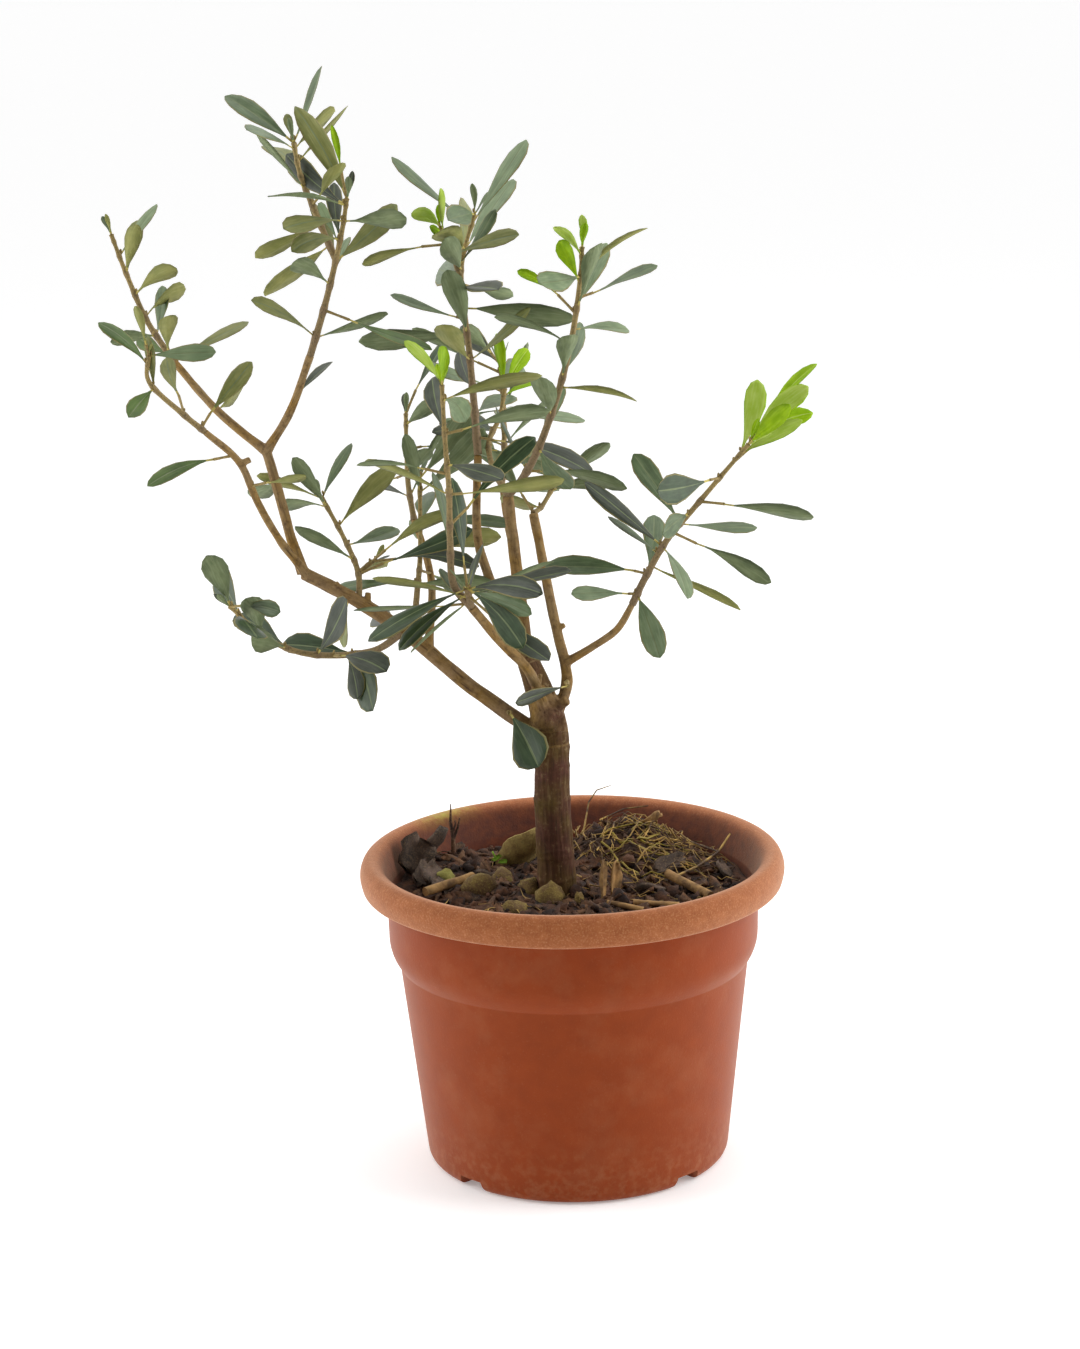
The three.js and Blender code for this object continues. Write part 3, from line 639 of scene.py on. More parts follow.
sweep, sweep_sockets, given = node_group("skin_along_paths", {
    "Paths": "Geometry", "Sides": "Int", "Finish": "Material",
}, "Skin")
thick = add_node(sweep, "GeometryNodeInputNamedAttribute", {"Name": "thick"}, data_type="FLOAT")
lines = add_node(sweep, "GeometryNodeMeshToCurve", {"Mesh": given["Paths"]})
section = add_node(sweep, "GeometryNodeCurvePrimitiveCircle", {"Resolution": given["Sides"], "Radius": 1})
skin = add_node(sweep, "GeometryNodeCurveToMesh", {
    "Curve": lines, "Profile Curve": section, "Scale": thick, "Fill Caps": True,
})
smooth = add_node(sweep, "GeometryNodeSetShadeSmooth", {0: skin})
loose = add_node(sweep, "GeometryNodeRealizeInstances", {0: smooth})
dressed = add_node(sweep, "GeometryNodeSetMaterial", {0: loose, "Material": given["Finish"]})
add_node(sweep, "NodeGroupOutput", {0: dressed})


def swept(name, paths, sides, material):
    """Round stalks as one piece, along paths of points and radii in millimetres."""
    points = []
    edges = []
    for path in paths:
        edges.extend((len(points) + i, len(points) + i + 1) for i in range(len(path) - 1))
        points.extend(path)
    mesh = bpy.data.meshes.new(name)
    mesh.from_pydata([[length * MM for length in place] for place, _ in points], edges, [])
    thick = mesh.attributes.new("thick", "FLOAT", "POINT")
    thick.data.foreach_set("value", [radius * MM for _, radius in points])
    piece = bpy.data.objects.new(name, mesh)
    bpy.context.scene.collection.objects.link(piece)
    skin = piece.modifiers.new("skin", "NODES")
    skin.node_group = sweep
    skin[sweep_sockets["Sides"]] = sides
    skin[sweep_sockets["Finish"]] = material
    return made_plain(piece)


def stalk(foot, bearing, steps, step, radius, lift):
    """A stalk that wanders over the mulch from its foot in plan."""
    x, y = foot
    path = []
    for i in range(steps):
        bearing += draw.uniform(-STALK_BEND, STALK_BEND)
        x += step * math.cos(math.radians(bearing))
        y += step * math.sin(math.radians(bearing))
        if math.hypot(x, y) > BED_RADIUS - STALK_CLEAR_OF_WALL:
            break
        height = bed_height(x, y) + radius + draw.uniform(*lift)
        path.append(((x, y, height), radius * (1 - STALK_TAPER * i / steps)))
    return path


def scattered(count, x_ends, y_ends, bearings, steps, step, radii, lift):
    """Stalks that start anywhere in a box in plan."""
    stalks = []
    for _ in range(count):
        foot = (draw.uniform(*x_ends), draw.uniform(*y_ends))
        stalks.append(stalk(foot, draw.uniform(*bearings), steps, step, draw.uniform(*radii), lift))
    return stalks


# Dry straw and root: pale ochre where it is dry and brown where it is damp.
straw = finish(
    "dry_straw", 0.65,
    noises={"damp": dict(mm=8, detail=3)},
    masks={"dry": ("damp", 0.42, 0.68, 0, 1)},
    ground=("dry", "#452C14", "#D2AA58"),
)
# Living root: yellow-green and waxy.
green_root = finish(
    "green_root", 0.5,
    noises={"ripe": dict(mm=6, detail=2)},
    masks={},
    ground=("ripe", "#66540F", "#A8922A"),
)

draw = random.Random(12)
stalks = []
for _ in range(STRAW_COUNT):
    foot = [draw.gauss(centre, spread) for centre, spread in zip(STRAW_HEAP, STRAW_SPREAD)]
    steps = draw.randint(*STRAW_STEPS)
    bearing = draw.gauss(0, STRAW_BEARING_SPREAD)
    stalks.append(stalk(foot, bearing, steps, STRAW_STEP, draw.uniform(*STRAW_RADIUS), STRAW_LIFT))
stalks += scattered(*STRAYS) + DEAD_STEMS
for name, paths, material in (("straw", stalks, straw), ("green_roots", scattered(*GREEN_ROOTS), green_root)):
    piece = swept(name, [path for path in paths if len(path) > 2], STALK_SIDES, material)
    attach(piece, "root")

# Stones, twigs and dead leaves on the mulch: river stones half grown over with moss, pieces of stripped
# twig, grey bark in layers at the left, curled dead leaves, a seedling and an upright dead sprig.
# Stones: place in plan, how far each stands clear of the mulch, its sizes and its seed.
MOSSY_STONES = [
    ((-10, -20), 4.5, (16, 12, 13), 1),
    ((-20, -10), 4, (12, 10, 11), 2),
    ((-27, -33), 2.5, (15, 11, 10), 3),
    ((-43, -8), 5, (17, 13, 14), 4),
    ((3, -25), 3, (6, 5, 10), 5),
    ((-33, 6), 2.5, (12, 10, 9), 6),
]
LIME_STONE = ((-60, 10), 4, (10, 9, 9), 7)
STONE_TURN = 47
# Twigs: their two ends and radius.
TWIGS = [
    ((-69, -14, 134.5), (-47, 5, 135.5), 2.2),
    ((45, 2, 135.5), (64, -22, 132), 2.3),
    ((16, -31, 133), (38, -41, 131), 1.2),
    ((28, -32, 133), (49, -35, 132), 1.5),
]
TWIG_STEPS = 4
TWIG_SWELL = (0.85, 1.1)
TWIG_SIDES = 9
# The sprig's stem and its two side shoots: places and radii.
SPRIG = [
    [((-57, 36, 138), 1.3), ((-57, 36.5, 146), 1), ((-58, 37, 153), 0.8), ((-57.6, 37, 162), 0.25)],
    [((-57, 36.5, 144), 0.9), ((-54.5, 37, 150), 0.7), ((-53.5, 37, 155), 0.3)],
    [((-57, 36.5, 148), 0.6), ((-55.5, 36.5, 152), 0.5), ((-55.8, 36.5, 154), 0.3)],
]
SPRIG_SIDES = 7
# Plates: middle, length, width, bearing, climb, roll and curl.
BARK_PLATES = [
    ((-70, 14, 134), 22, 12, 80, 8, 15, 0.1),
    ((-68, 10, 137), 19, 10, 95, 12, 25, 0.15),
    ((-62, -2, 134), 16, 9, 110, 5, 10, 0.1),
    ((-75, 26, 140), 18, 16, 60, 55, 40, 0.3),
    ((-66, 40, 142), 16, 13, 20, 50, -30, 0.35),
    ((-38, 12, 134), 15, 8, 150, 10, 20, 0.2),
    ((47, 14, 137), 17, 8, 30, 12, 35, 0.2),
    ((36, -14, 134), 15, 7, 200, 10, 20, 0.2),
    ((72, 10, 135), 10, 6, 120, 35, 20, 0.2),
]
DEAD_LEAVES = [
    ((-25, 24, 140), 30, 16, 330, 42, -55, 0.3),
    ((14, -20, 138), 21, 6, 80, 72, 80, 0.25),
    ((20, -14, 139), 17, 6, 70, 70, 60, 0.3),
    ((38, 50, 148), 14, 9, 20, 20, -20, 0.3),
]
SEEDLING = [
    ((-36, 24, 138.5), 5, 2.2, 20, 25, 60, 0.2),
    ((-33, 23, 137), 4.5, 2, 340, 10, 70, 0.2),
    ((-37, 23, 140.5), 3.6, 1.7, 130, 40, 60, 0.2),
]


def placed(shape, middle, bearing, climb, roll):
    """A shape turned by its bearing, climb and roll and moved to its middle."""
    turn = Matrix.Rotation(math.radians(bearing), 3, "Z")
    turn = turn @ Matrix.Rotation(math.radians(-climb), 3, "Y") @ Matrix.Rotation(math.radians(roll), 3, "X")
    vertices = [list(turn @ Vector(vertex) + Vector(middle)) for vertex in shape[0]]
    return vertices, shape[1]


def stone(place, clear, sizes, seed):
    """A stone bedded in the mulch."""
    middle = (*place, bed_height(*place) + clear - sizes[2] / 4)
    return placed(lump(sizes, seed, 7, 11, 0.45), middle, STONE_TURN * seed, 0, 0)


def laid(rows, thick, first_seed, steps=6):
    """Plates of one thickness, each in its place."""
    plates = []
    for seed, (middle, length, width, bearing, climb, roll, curl) in enumerate(rows, first_seed):
        plates.append(placed(plate(length, width, thick, curl, seed, steps), middle, bearing, climb, roll))
    return plates


# Mossy stone: ochre-brown, with yellow-green moss over its top and in its hollows. Lime moss is a pale
# cushion over one stone, a mossy leaf is golden where it is dry, and the seedling's leaf is fresh green.
MOSSY = dict(
    rough=0.9,
    noises={"moss": dict(mm=6, detail=5), "tufts": dict(mm=0.8, detail=3)},
    masks={"mossed": ("moss", 0.42, 0.68, 0, 1), "pale": ("tufts", 0.5, 0.75, 0, 0.5)},
    layers=[("pale", "#A2914C")],
    bump=("tufts", 0.8, 0.6),
)
mossy_stone, lime_moss, mossy_leaf, seedling_leaf = (
    finish(name, ground=("mossed", first, second), **MOSSY)
    for name, first, second in (
        ("mossy_stone", "#5E4526", "#7A652E"),
        ("lime_moss", "#7C7434", "#A8A458"),
        ("mossy_leaf", "#745C2E", "#98834A"),
        ("seedling_leaf", "#6A921C", "#94B83A"),
    )
)
# Damp bark: greyer and more even than the dry flakes.
damp_bark = finish("damp_bark", ground=("split", "#35291F", "#5F4C40"), **SPLIT_BARK)
# Stripped twig and dead leaf: tan to ochre, with fine fibres.
dead_wood = finish(
    "dead_wood_and_leaf", 0.8,
    noises={"stain": dict(mm=5, detail=5), "fibre": dict(mm=0.8, detail=3)},
    masks={"stained": ("stain", 0.35, 0.65, 0, 1)},
    ground=("stained", "#664A27", "#B08750"),
    bump=("fibre", 0.5, 0.4),
)

dead_leaves = laid(DEAD_LEAVES, 0.7, 40, 7)
is_mossy = [leaf == 0 for leaf, (_, faces) in enumerate(dead_leaves) for _ in faces]
twig_paths = []
for start, end, radius in TWIGS:
    places = np.linspace(start, end, TWIG_STEPS + 1)
    twig_paths.append([(place, radius * draw.uniform(*TWIG_SWELL)) for place in places])
for piece in (
    mesh_piece("mossy_stones", *joined(stone(*row) for row in MOSSY_STONES), [mossy_stone]),
    mesh_piece("lime_stone", *stone(*LIME_STONE), [lime_moss]),
    mesh_piece("bark_plates", *joined(laid(BARK_PLATES, 1.4, 20)), [damp_bark]),
    mesh_piece("dead_leaves", *joined(dead_leaves), [dead_wood, mossy_leaf], is_mossy),
    mesh_piece("seedling", *joined(laid(SEEDLING, 0.4, 60)), [seedling_leaf]),
    swept("dead_twigs", twig_paths, TWIG_SIDES, dead_wood),
    swept("dead_sprig", SPRIG, SPRIG_SIDES, split_bark),
):
    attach(piece, "root")

# Trunk and boughs: one living olive stem. The limbs leave it at a swollen knot, each tapers along its legs,
# and cut stubs, ring scars and lenticels show where it was pruned and how it grew.
# A limb grows on another at a share of its length, in legs of length, bearing and climb.
LIMBS = [
    dict(name="trunk", on=None, at=0, thick=(8.6, 5), legs=[(43, 180, 88), (37, 104, 88), (35, 150, 71)]),
    dict(
        name="leader", on="trunk", at=1, thick=(2.9, 2.7),
        legs=[(18, 114, 79), (32, 139, 82), (25, 136, 83)],
    ),
    dict(
        name="middle_stem", on="trunk", at=0.97, thick=(2.5, 1.9),
        legs=[(24, 141, 55), (23, 135, 61), (20, 125, 68), (35, 77, 80)],
    ),
    dict(
        name="left_bough", on="trunk", at=0.6, thick=(3.6, 3),
        legs=[(46, 167, 34), (36, 170, 40), (30, 171, 34), (28, 173, 28)],
    ),
    dict(
        name="right_stem", on="trunk", at=0.66, thick=(2.9, 2.2),
        legs=[(20, 32, 63), (12, 92, 75), (20, 137, 73), (51, 132, 75)],
    ),
    dict(
        name="front_bough", on="trunk", at=0.7, thick=(2.6, 2.1),
        legs=[(31, 242, 58), (26, 223, 46), (25, 224, 48)],
    ),
    dict(
        name="right_bough", on="right_stem", at=0.5, thick=(1.9, 1.6),
        legs=[(17, 334, 32), (16, 334, 37), (15, 330, 57)],
    ),
    dict(
        name="inner_left_bough", on="left_bough", at=1, thick=(2.5, 2.3),
        legs=[(17, 143, 67), (18, 137, 71), (24, 137, 69)],
    ),
    dict(
        name="outer_left_bough", on="left_bough", at=0.98, thick=(1.9, 1.6),
        legs=[(23, 214, 53), (23, 223, 59), (22, 221, 65), (22, 202, 45)],
    ),
    dict(
        name="far_left_bough", on="inner_left_bough", at=1, thick=(2.1, 1.8),
        legs=[(30, 160, 37), (31, 158, 46)],
    ),
    dict(
        name="tall_left_bough", on="inner_left_bough", at=1, thick=(2.1, 1.8),
        legs=[(23, 347, 57), (29, 335, 66)],
    ),
    dict(
        name="back_bough", on="leader", at=0.35, thick=(2, 1.6),
        legs=[(31, 96, 35), (27, 99, 29), (27, 98, 41)],
    ),
    dict(
        name="back_left_bough", on="left_bough", at=0.42, thick=(2, 1.6),
        legs=[(33, 86, 47), (25, 100, 35), (20, 109, 36)],
    ),
]
TRUNK_TAPER = 3
FLARE = 1.2
FLARE_SHARE = 0.07
KNOT_SWELL = 0.9
KNOT_SHARE = 0.68
KNOT_SPREAD = 0.09
TRUNK_SUNK = 6
COLLAR = 0.55
COLLAR_REACH = 6
# Stubs: the limb each was cut from, where along it, its bearing, climb, length and radius.
STUBS = [
    ("trunk", 0.73, 335, 35, 13, 2.4),
    ("front_bough", 0.2, 60, 75, 8, 1.2),
    ("leader", 0.5, 350, 45, 6.5, 1.5),
    ("left_bough", 0.8, 200, 50, 8, 1.6),
    ("left_bough", 0.7, 80, 70, 7, 1.5),
    ("outer_left_bough", 0.74, 10, 20, 5, 1.5),
    ("right_stem", 0.72, 350, 30, 4.5, 1.3),
]
STUB_STEPS = 4
# How old the bark is, from foot to tip, where it is older than the limb's thickness says.
BARK_AGES = {"trunk": (1, 0.8), "leader": (0.8, 0)}
LIMB_STEP = 2
LIMB_SIDES = 20
BARK_GRID = 0.55
BARK_EASE = (0.5, 4)
# Each limb's lines start this far on from the last limb's, so that no two are alike.
LIMB_LINES_APART = 1000
CURVE_STEP = 1e-4
CROSSWISE = np.array([0.8, -0.6, 0])
UP = np.array([0, 0, 1])


def heading(bearing, climb):
    """The direction of a bearing in plan and a climb above level, in degrees."""
    level = math.cos(math.radians(climb))
    bearing = math.radians(bearing)
    return np.array([level * math.cos(bearing), level * math.sin(bearing), math.sin(math.radians(climb))])


def grown(foot, legs):
    """The points that legs of length, bearing and climb pass through."""
    points = [np.array(foot, float)]
    for length, bearing, climb in legs:
        points.append(points[-1] + length * heading(bearing, climb))
    return points


def point_at(points, share):
    """A place on the smooth curve through the points, at a share of its legs."""
    last = len(points) - 1
    leg = min(int(share * last), last - 1)
    step = share * last - leg
    start, end = points[leg], points[leg + 1]
    before = points[leg - 1] if leg > 0 else 2 * start - end
    after = points[leg + 2] if leg + 2 <= last else 2 * end - start
    leaving, reaching = (end - before) / 2, (after - start) / 2
    bend = -3 * start + 3 * end - 2 * leaving - reaching
    turn = 2 * start - 2 * end + leaving + reaching
    return start + leaving * step + bend * step ** 2 + turn * step ** 3


def unit(vector):
    return vector / np.linalg.norm(vector)


def frame_at(points, share):
    """The curve's place and the three directions of its section there."""
    low, high = max(0, share - CURVE_STEP), min(1, share + CURVE_STEP)
    along = unit(point_at(points, high) - point_at(points, low))
    across = unit(np.cross(along, CROSSWISE))
    return point_at(points, share), along, across, np.cross(across, along)


def legs_length(legs):
    return sum(length for length, _, _ in legs)


def bell(offset, spread):
    """One at no offset, falling away over the spread."""
    return math.exp(-((offset / spread) ** 2))


def trunk_radius(share):
    foot, tip = LIMBS[0]["thick"]
    flare = FLARE * math.exp(-share / FLARE_SHARE)
    knot = KNOT_SWELL * bell(share - KNOT_SHARE, KNOT_SPREAD)
    return foot + (tip - foot) * share ** TRUNK_TAPER + flare + knot


curves = {}
limb_paths = []
stations = []
for limb in LIMBS:
    is_trunk = limb["on"] is None
    foot = (*TRUNK_FOOT, SOIL_LEVEL) if is_trunk else point_at(curves[limb["on"]], limb["at"])
    curve = grown(foot, limb["legs"])
    curves[limb["name"]] = curve
    length = legs_length(limb["legs"])
    path = []
    for share in np.linspace(0, 1, round(length / LIMB_STEP) + 1):
        place, *directions = frame_at(curve, share)
        collar = COLLAR * math.exp(-share * length / COLLAR_REACH)
        radius = trunk_radius(share) if is_trunk else np.interp(share, (0, 1), limb["thick"]) + collar
        if is_trunk and share == 0:
            path.append((place - TRUNK_SUNK * directions[0], radius))
        path.append((place, radius))
        age = np.interp(share, (0, 1), BARK_AGES.get(limb["name"], (0, 0)))
        line = share * length + LIMB_LINES_APART * len(limb_paths)
        stations.append((place, *directions, radius, line, age))
    limb_paths.append(path)
for limb, share, bearing, climb, length, radius in STUBS:
    foot = point_at(curves[limb], share)
    places = np.linspace(foot, foot + length * heading(bearing, climb), STUB_STEPS + 1)
    limb_paths.append([(place, radius) for place in places])

# Olive bark: warm tan on the boughs, with dark specks and an ochre bloom, and dark reddish brown on the
# trunk, finely lined along its length, with a breath of green at the foot.
BARK_DARK = "#3A2719"
BARK_PALE = "#A08A62"
LINE_MM = 1.3
BLOOM = dict(mm=13, detail=4)
BLOOMED = ("bloom", 0.38, 0.66, 0, 1)
bark = finish(
    "olive_bark", 0.8, gloss=0.2,
    noises={
        "lines": dict(mm=LINE_MM, detail=4, follows="grain"),
        "bloom": BLOOM,
        "specks": dict(mm=2.4, detail=0, follows="grain", kind="ShaderNodeTexVoronoi"),
        "mottle": dict(mm=3.2, detail=5, rough=0.7),
    },
    masks={
        "bloomed": BLOOMED,
        "old": ("girth", 0, 1, 0, 1),
        "stained": ("mottle", 0.5, 0.3, 0, 0.65),
        "bleached": ("mottle", 0.56, 0.7, 0, 0.4),
        "dark_lines": ("lines", 0.5, 0.34, 0, 0.4),
        "pale_lines": ("lines", 0.58, 0.74, 0, 0.22),
        "speckled": ("specks", 0.12, 0.2, 0.6, 0),
    },
    ground=("bloomed", "#957C56", "#937138"),
    layers=[
        ("old", ("bloomed", "#563527", "#57431D")),
        ("stained", BARK_DARK), ("bleached", BARK_PALE),
        ("dark_lines", BARK_DARK), ("pale_lines", BARK_PALE),
        ("speckled", BARK_DARK),
    ],
    bump=("lines", 0.7, 0.35),
)
wood = swept("trunk_and_boughs", limb_paths, LIMB_SIDES, bark)
grow_together = wood.modifiers.new("grow_together", "REMESH")
grow_together.mode = "VOXEL"
grow_together.voxel_size = BARK_GRID * MM
ease = wood.modifiers.new("ease", "SMOOTH")
ease.factor, ease.iterations = BARK_EASE
made_plain(wood)

# The bark's relief: lines along each limb and lumps, both deeper on stout wood, ring scars up the trunk, and
# the healed scar at its knot, a wrinkled ring round a hollow.
LINE_DEPTH = (0.08, 0.3)
LINE_STRETCH = 9
LUMP_DEPTH = (0.22, 0.4)
LUMP_MM = 9
WOOD_RADII = (1.6, 6.5)
RING_SCARS = (7, 17, 19, 41, 58, 66)
RINGED_LENGTH = 120
RING_RISE = 0.3
RING_WIDTH = 0.9
RING_WANDER = 1.5
RING_WANDER_MM = 6
SCAR_PLACE = np.array([-4.5, -15.5, 215.5])
SCAR_BROWN_REACH = 13
SCAR_REACH = 13.8
SCAR_RING = 4.6
SCAR_RING_WIDTH = 1.5
SCAR_HOLLOW = 2.4
SCAR_RISE = 0.9
SCAR_WRINKLES = 11
SCAR_WRINKLE_SHARE = 0.3

axis = KDTree(len(stations))
for i, (place, *_) in enumerate(stations):
    axis.insert(place, i)
axis.balance()
count = len(wood.data.vertices)
places = np.zeros(count * 3)
wood.data.vertices.foreach_get("co", places)
places = places.reshape(-1, 3) / MM
normals = np.zeros(count * 3)
wood.data.vertices.foreach_get("normal", normals)
normals = normals.reshape(-1, 3)
girths = np.zeros(count)
grains = np.zeros((count, 3))
for i in range(count):
    middle, along, across, upward, radius, length, age = stations[axis.find(places[i])[1]]
    off = places[i] - middle
    length = length + off @ along
    girth = np.interp(radius, WOOD_RADII, (0, 1))
    grains[i] = (off @ across, off @ upward, length / LINE_STRETCH)
    rise = noise.noise(grains[i] / LINE_MM) * np.interp(girth, (0, 1), LINE_DEPTH)
    rise += noise.noise(places[i] / LUMP_MM) * np.interp(girth, (0, 1), LUMP_DEPTH)
    if length < RINGED_LENGTH:
        wander = RING_WANDER * noise.noise(places[i] / RING_WANDER_MM)
        rise += sum(RING_RISE * bell(length + wander - ring, RING_WIDTH) for ring in RING_SCARS)
    to_scar = places[i] - SCAR_PLACE
    reach = np.linalg.norm(to_scar)
    girths[i] = max(girth, age, bell(reach, SCAR_BROWN_REACH))
    if reach < SCAR_REACH:
        wrinkle = SCAR_WRINKLE_SHARE * math.cos(SCAR_WRINKLES * math.atan2(to_scar[2], to_scar[0]))
        rise += SCAR_RISE * (1 + wrinkle) * bell(reach - SCAR_RING, SCAR_RING_WIDTH)
        rise -= SCAR_RISE * bell(reach, SCAR_HOLLOW)
    places[i] += rise * normals[i]
wood.data.vertices.foreach_set("co", (places * MM).ravel())
wood.data.attributes.new("girth", "FLOAT", "POINT").data.foreach_set("value", girths)
wood.data.attributes.new("grain", "FLOAT_VECTOR", "POINT").data.foreach_set("vector", (grains * MM).ravel())
wood.data.shade_smooth()
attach(wood, "root")
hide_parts(*(limb["name"] for limb in LIMBS))

# Leafy shoots: this year's and last year's growth at the ends of the boughs. A shoot grows on a limb, or as
# a twig on another shoot, in legs as a limb does, with a swelling at each pair of leaves and a bud beside it.
PAIR_TURN = 90
TURN_SWING = (-60, 60)
OPEN_SWING = (-30, 30)
LENGTH_SWING = (0.78, 1.14)
DROOP_SWING = (-0.15, 0.5)
TWIST_SWING = (-60, 60)
TIP_CLOSING = 0.3
TIP_GAP = 0.45
MISSING_SHARE = 0.16
SPUR_SHARE = 0.14
SPUR_SWING = (6, 14)
YOUNG_CLOSING = 0.55
YOUNG_SIZE = 0.75
FACE_LIFT = 0.5
LEAF_WIDTH = 0.27
# Pairs stand at every gap from the tip down to the bare foot. turn is the first pair's turn round the stem,
# open its angle from the stem, leaf the leaf's length and young the count of young pairs at the tip. Each
# pair has its own seed. fallen names leaves that have dropped, by pair and side, broad widens the blades and
# tint gives their finish. A row with one side is a single leaf. The legs were traced from the photograph, and
# the other values and the seeds, here and in the side leaves, come from a search against it.
SPRAYS = [
    dict(
        name="right_spray", on="right_bough", at=1, bare=2, gap=14, turn=0, open=85,
        legs=[(15, 325, 61), (22, 325, 57), (20, 332, 49), (21, 334, 49), (20, 339, 49)],
        leaf=44, seeds=[379, 481, 714, 1157, 819, 1303, 1166, 1389], young=2,
    ),
    dict(
        name="far_left_spray", on="far_left_bough", at=1, bare=0, gap=9.5, turn=30, open=50,
        legs=[(23, 162, 56), (25, 168, 68), (18, 161, 70)],
        leaf=32, seeds=[97, 415, 425, 1285, 1441, 247, 983, 194],
    ),
    dict(
        name="outer_left_spray", on="outer_left_bough", at=1, bare=2, gap=13, turn=15, open=70,
        legs=[(12, 206, 42), (23, 207, 46), (13, 285, 77)],
        leaf=28, seeds=[713, 975, 1369, 1408, 1230],
    ),
    dict(
        name="tall_left_spray", on="tall_left_bough", at=1, bare=4, gap=11, turn=60, open=65,
        legs=[(25, 323, 67), (22, 314, 67), (18, 318, 71), (13, 321, 76)],
        leaf=42, seeds=[79, 89, 1040, 56, 216, 217, 489, 443],
    ),
    dict(
        name="tall_left_twig", on="tall_left_spray", at=0.52, bare=1, gap=8, turn=45, open=65,
        legs=[(25, 140, 61), (17, 146, 65), (15, 139, 76)],
        leaf=44, seeds=[1191, 1187, 1287, 146, 300, 1080, 154, 1267],
    ),
    dict(
        name="low_left_spray", on="left_bough", at=0.53, bare=25, gap=15.5, turn=15, open=65,
        legs=[(22, 226, -14), (31, 212, 6), (25, 211, 26), (24, 210, 45)],
        leaf=36, seeds=[673, 169, 964, 761, 844, 1243], broad=1.4,
    ),
    dict(
        name="left_inner_spray", on="left_bough", at=0.74, bare=14, gap=8.5, turn=30, open=65,
        legs=[(14, 93, 68), (17, 127, 54), (24, 132, 48)],
        leaf=40, seeds=[655, 1485, 131, 264, 1037, 162],
    ),
    dict(
        name="left_inner_twig", on="left_inner_spray", at=0.33, bare=2, gap=6.5, turn=90, open=60,
        legs=[(9, 30, 30)],
        leaf=38, seeds=[1174, 528],
    ),
    dict(
        name="left_upright_spray", on="left_bough", at=0.49, bare=24, gap=10.5, turn=120, open=70,
        legs=[(23, 79, 60), (19, 81, 58), (36, 89, 64)],
        leaf=40, seeds=[359, 991, 610, 552, 740, 671],
    ),
    dict(
        name="rosette_spray", on="front_bough", at=1, bare=0, gap=1.5, turn=135, open=90,
        legs=[(12, 256, 58)],
        leaf=46, seeds=[1496, 21, 459, 1205, 1494, 1142, 470, 645, 625], fallen=[(6, 1)],
    ),
    dict(
        name="mid_left_spray", on="front_bough", at=1, bare=27, gap=13, turn=75, open=70,
        legs=[(14, 196, 55), (21, 260, 79), (24, 275, 80), (23, 257, 80), (25, 257, 85)],
        leaf=42, seeds=[1001, 816, 1324, 1318, 665, 1199, 638], young=1,
    ),
    dict(
        name="middle_spray", on="middle_stem", at=1, bare=6, gap=11, turn=105, open=75,
        legs=[(23, 108, 80), (25, 118, 82), (24, 126, 81), (17, 90, 83), (23, 0, 74)],
        leaf=48, seeds=[975, 497, 133, 686, 1330, 175, 727, 213, 387, 272, 46],
    ),
    dict(
        name="middle_twig", on="middle_spray", at=0.72, bare=5, gap=6, turn=0, open=60,
        legs=[(13, 216, 67), (13, 203, 67)],
        leaf=38, seeds=[60, 659, 766, 953, 1009], young=2,
    ),
    dict(
        name="right_upper_spray", on="leader", at=1, bare=19, gap=14, turn=45, open=65,
        legs=[(13, 320, 44), (21, 317, 56), (30, 315, 64), (27, 308, 68), (26, 303, 74), (15, 291, 78)],
        leaf=42, seeds=[97, 1048, 9, 203, 709, 1386, 1265, 184, 795], young=2,
    ),
    dict(
        name="tuft_spray", on="leader", at=1, bare=20, gap=10, turn=165, open=65,
        legs=[(17, 118, 36), (16, 100, 41), (15, 61, 44), (14, 67, 61)],
        leaf=42, seeds=[917, 1055, 1110, 393, 134], young=2,
    ),
    dict(
        name="right_inner_spray", on="right_stem", at=1, bare=0, gap=9.5, turn=135, open=75,
        legs=[(8, 56, 16), (16, 61, 33)],
        leaf=38, seeds=[446, 6, 398, 706],
    ),
    dict(
        name="fork_leaf_left", on="left_bough", at=0.14, bare=1, gap=15, turn=150, open=70,
        legs=[(5, 300, 0)],
        leaf=28, seeds=[1518], sides=1, missing=0, tint="deep", broad=2.3,
    ),
    dict(
        name="fork_leaf_right", on="right_stem", at=0.33, bare=1, gap=30, turn=345, open=85,
        legs=[(11, 270, 0)],
        leaf=34, seeds=[1686], sides=1, missing=0, tint="slate",
    ),
    dict(
        name="back_spray", on="back_bough", at=1, bare=0, gap=8.5, turn=150, open=70,
        legs=[(18, 80, 62), (20, 90, 70), (20, 100, 76)],
        leaf=42, seeds=[200, 108, 888, 813, 20, 575, 1064, 614],
    ),
    dict(
        name="back_left_spray", on="back_left_bough", at=1, bare=0, gap=12, turn=45, open=70,
        legs=[(18, 105, 55), (18, 95, 62), (18, 90, 70)],
        leaf=36, seeds=[1470, 595, 259, 1284, 379, 864],
    ),
]
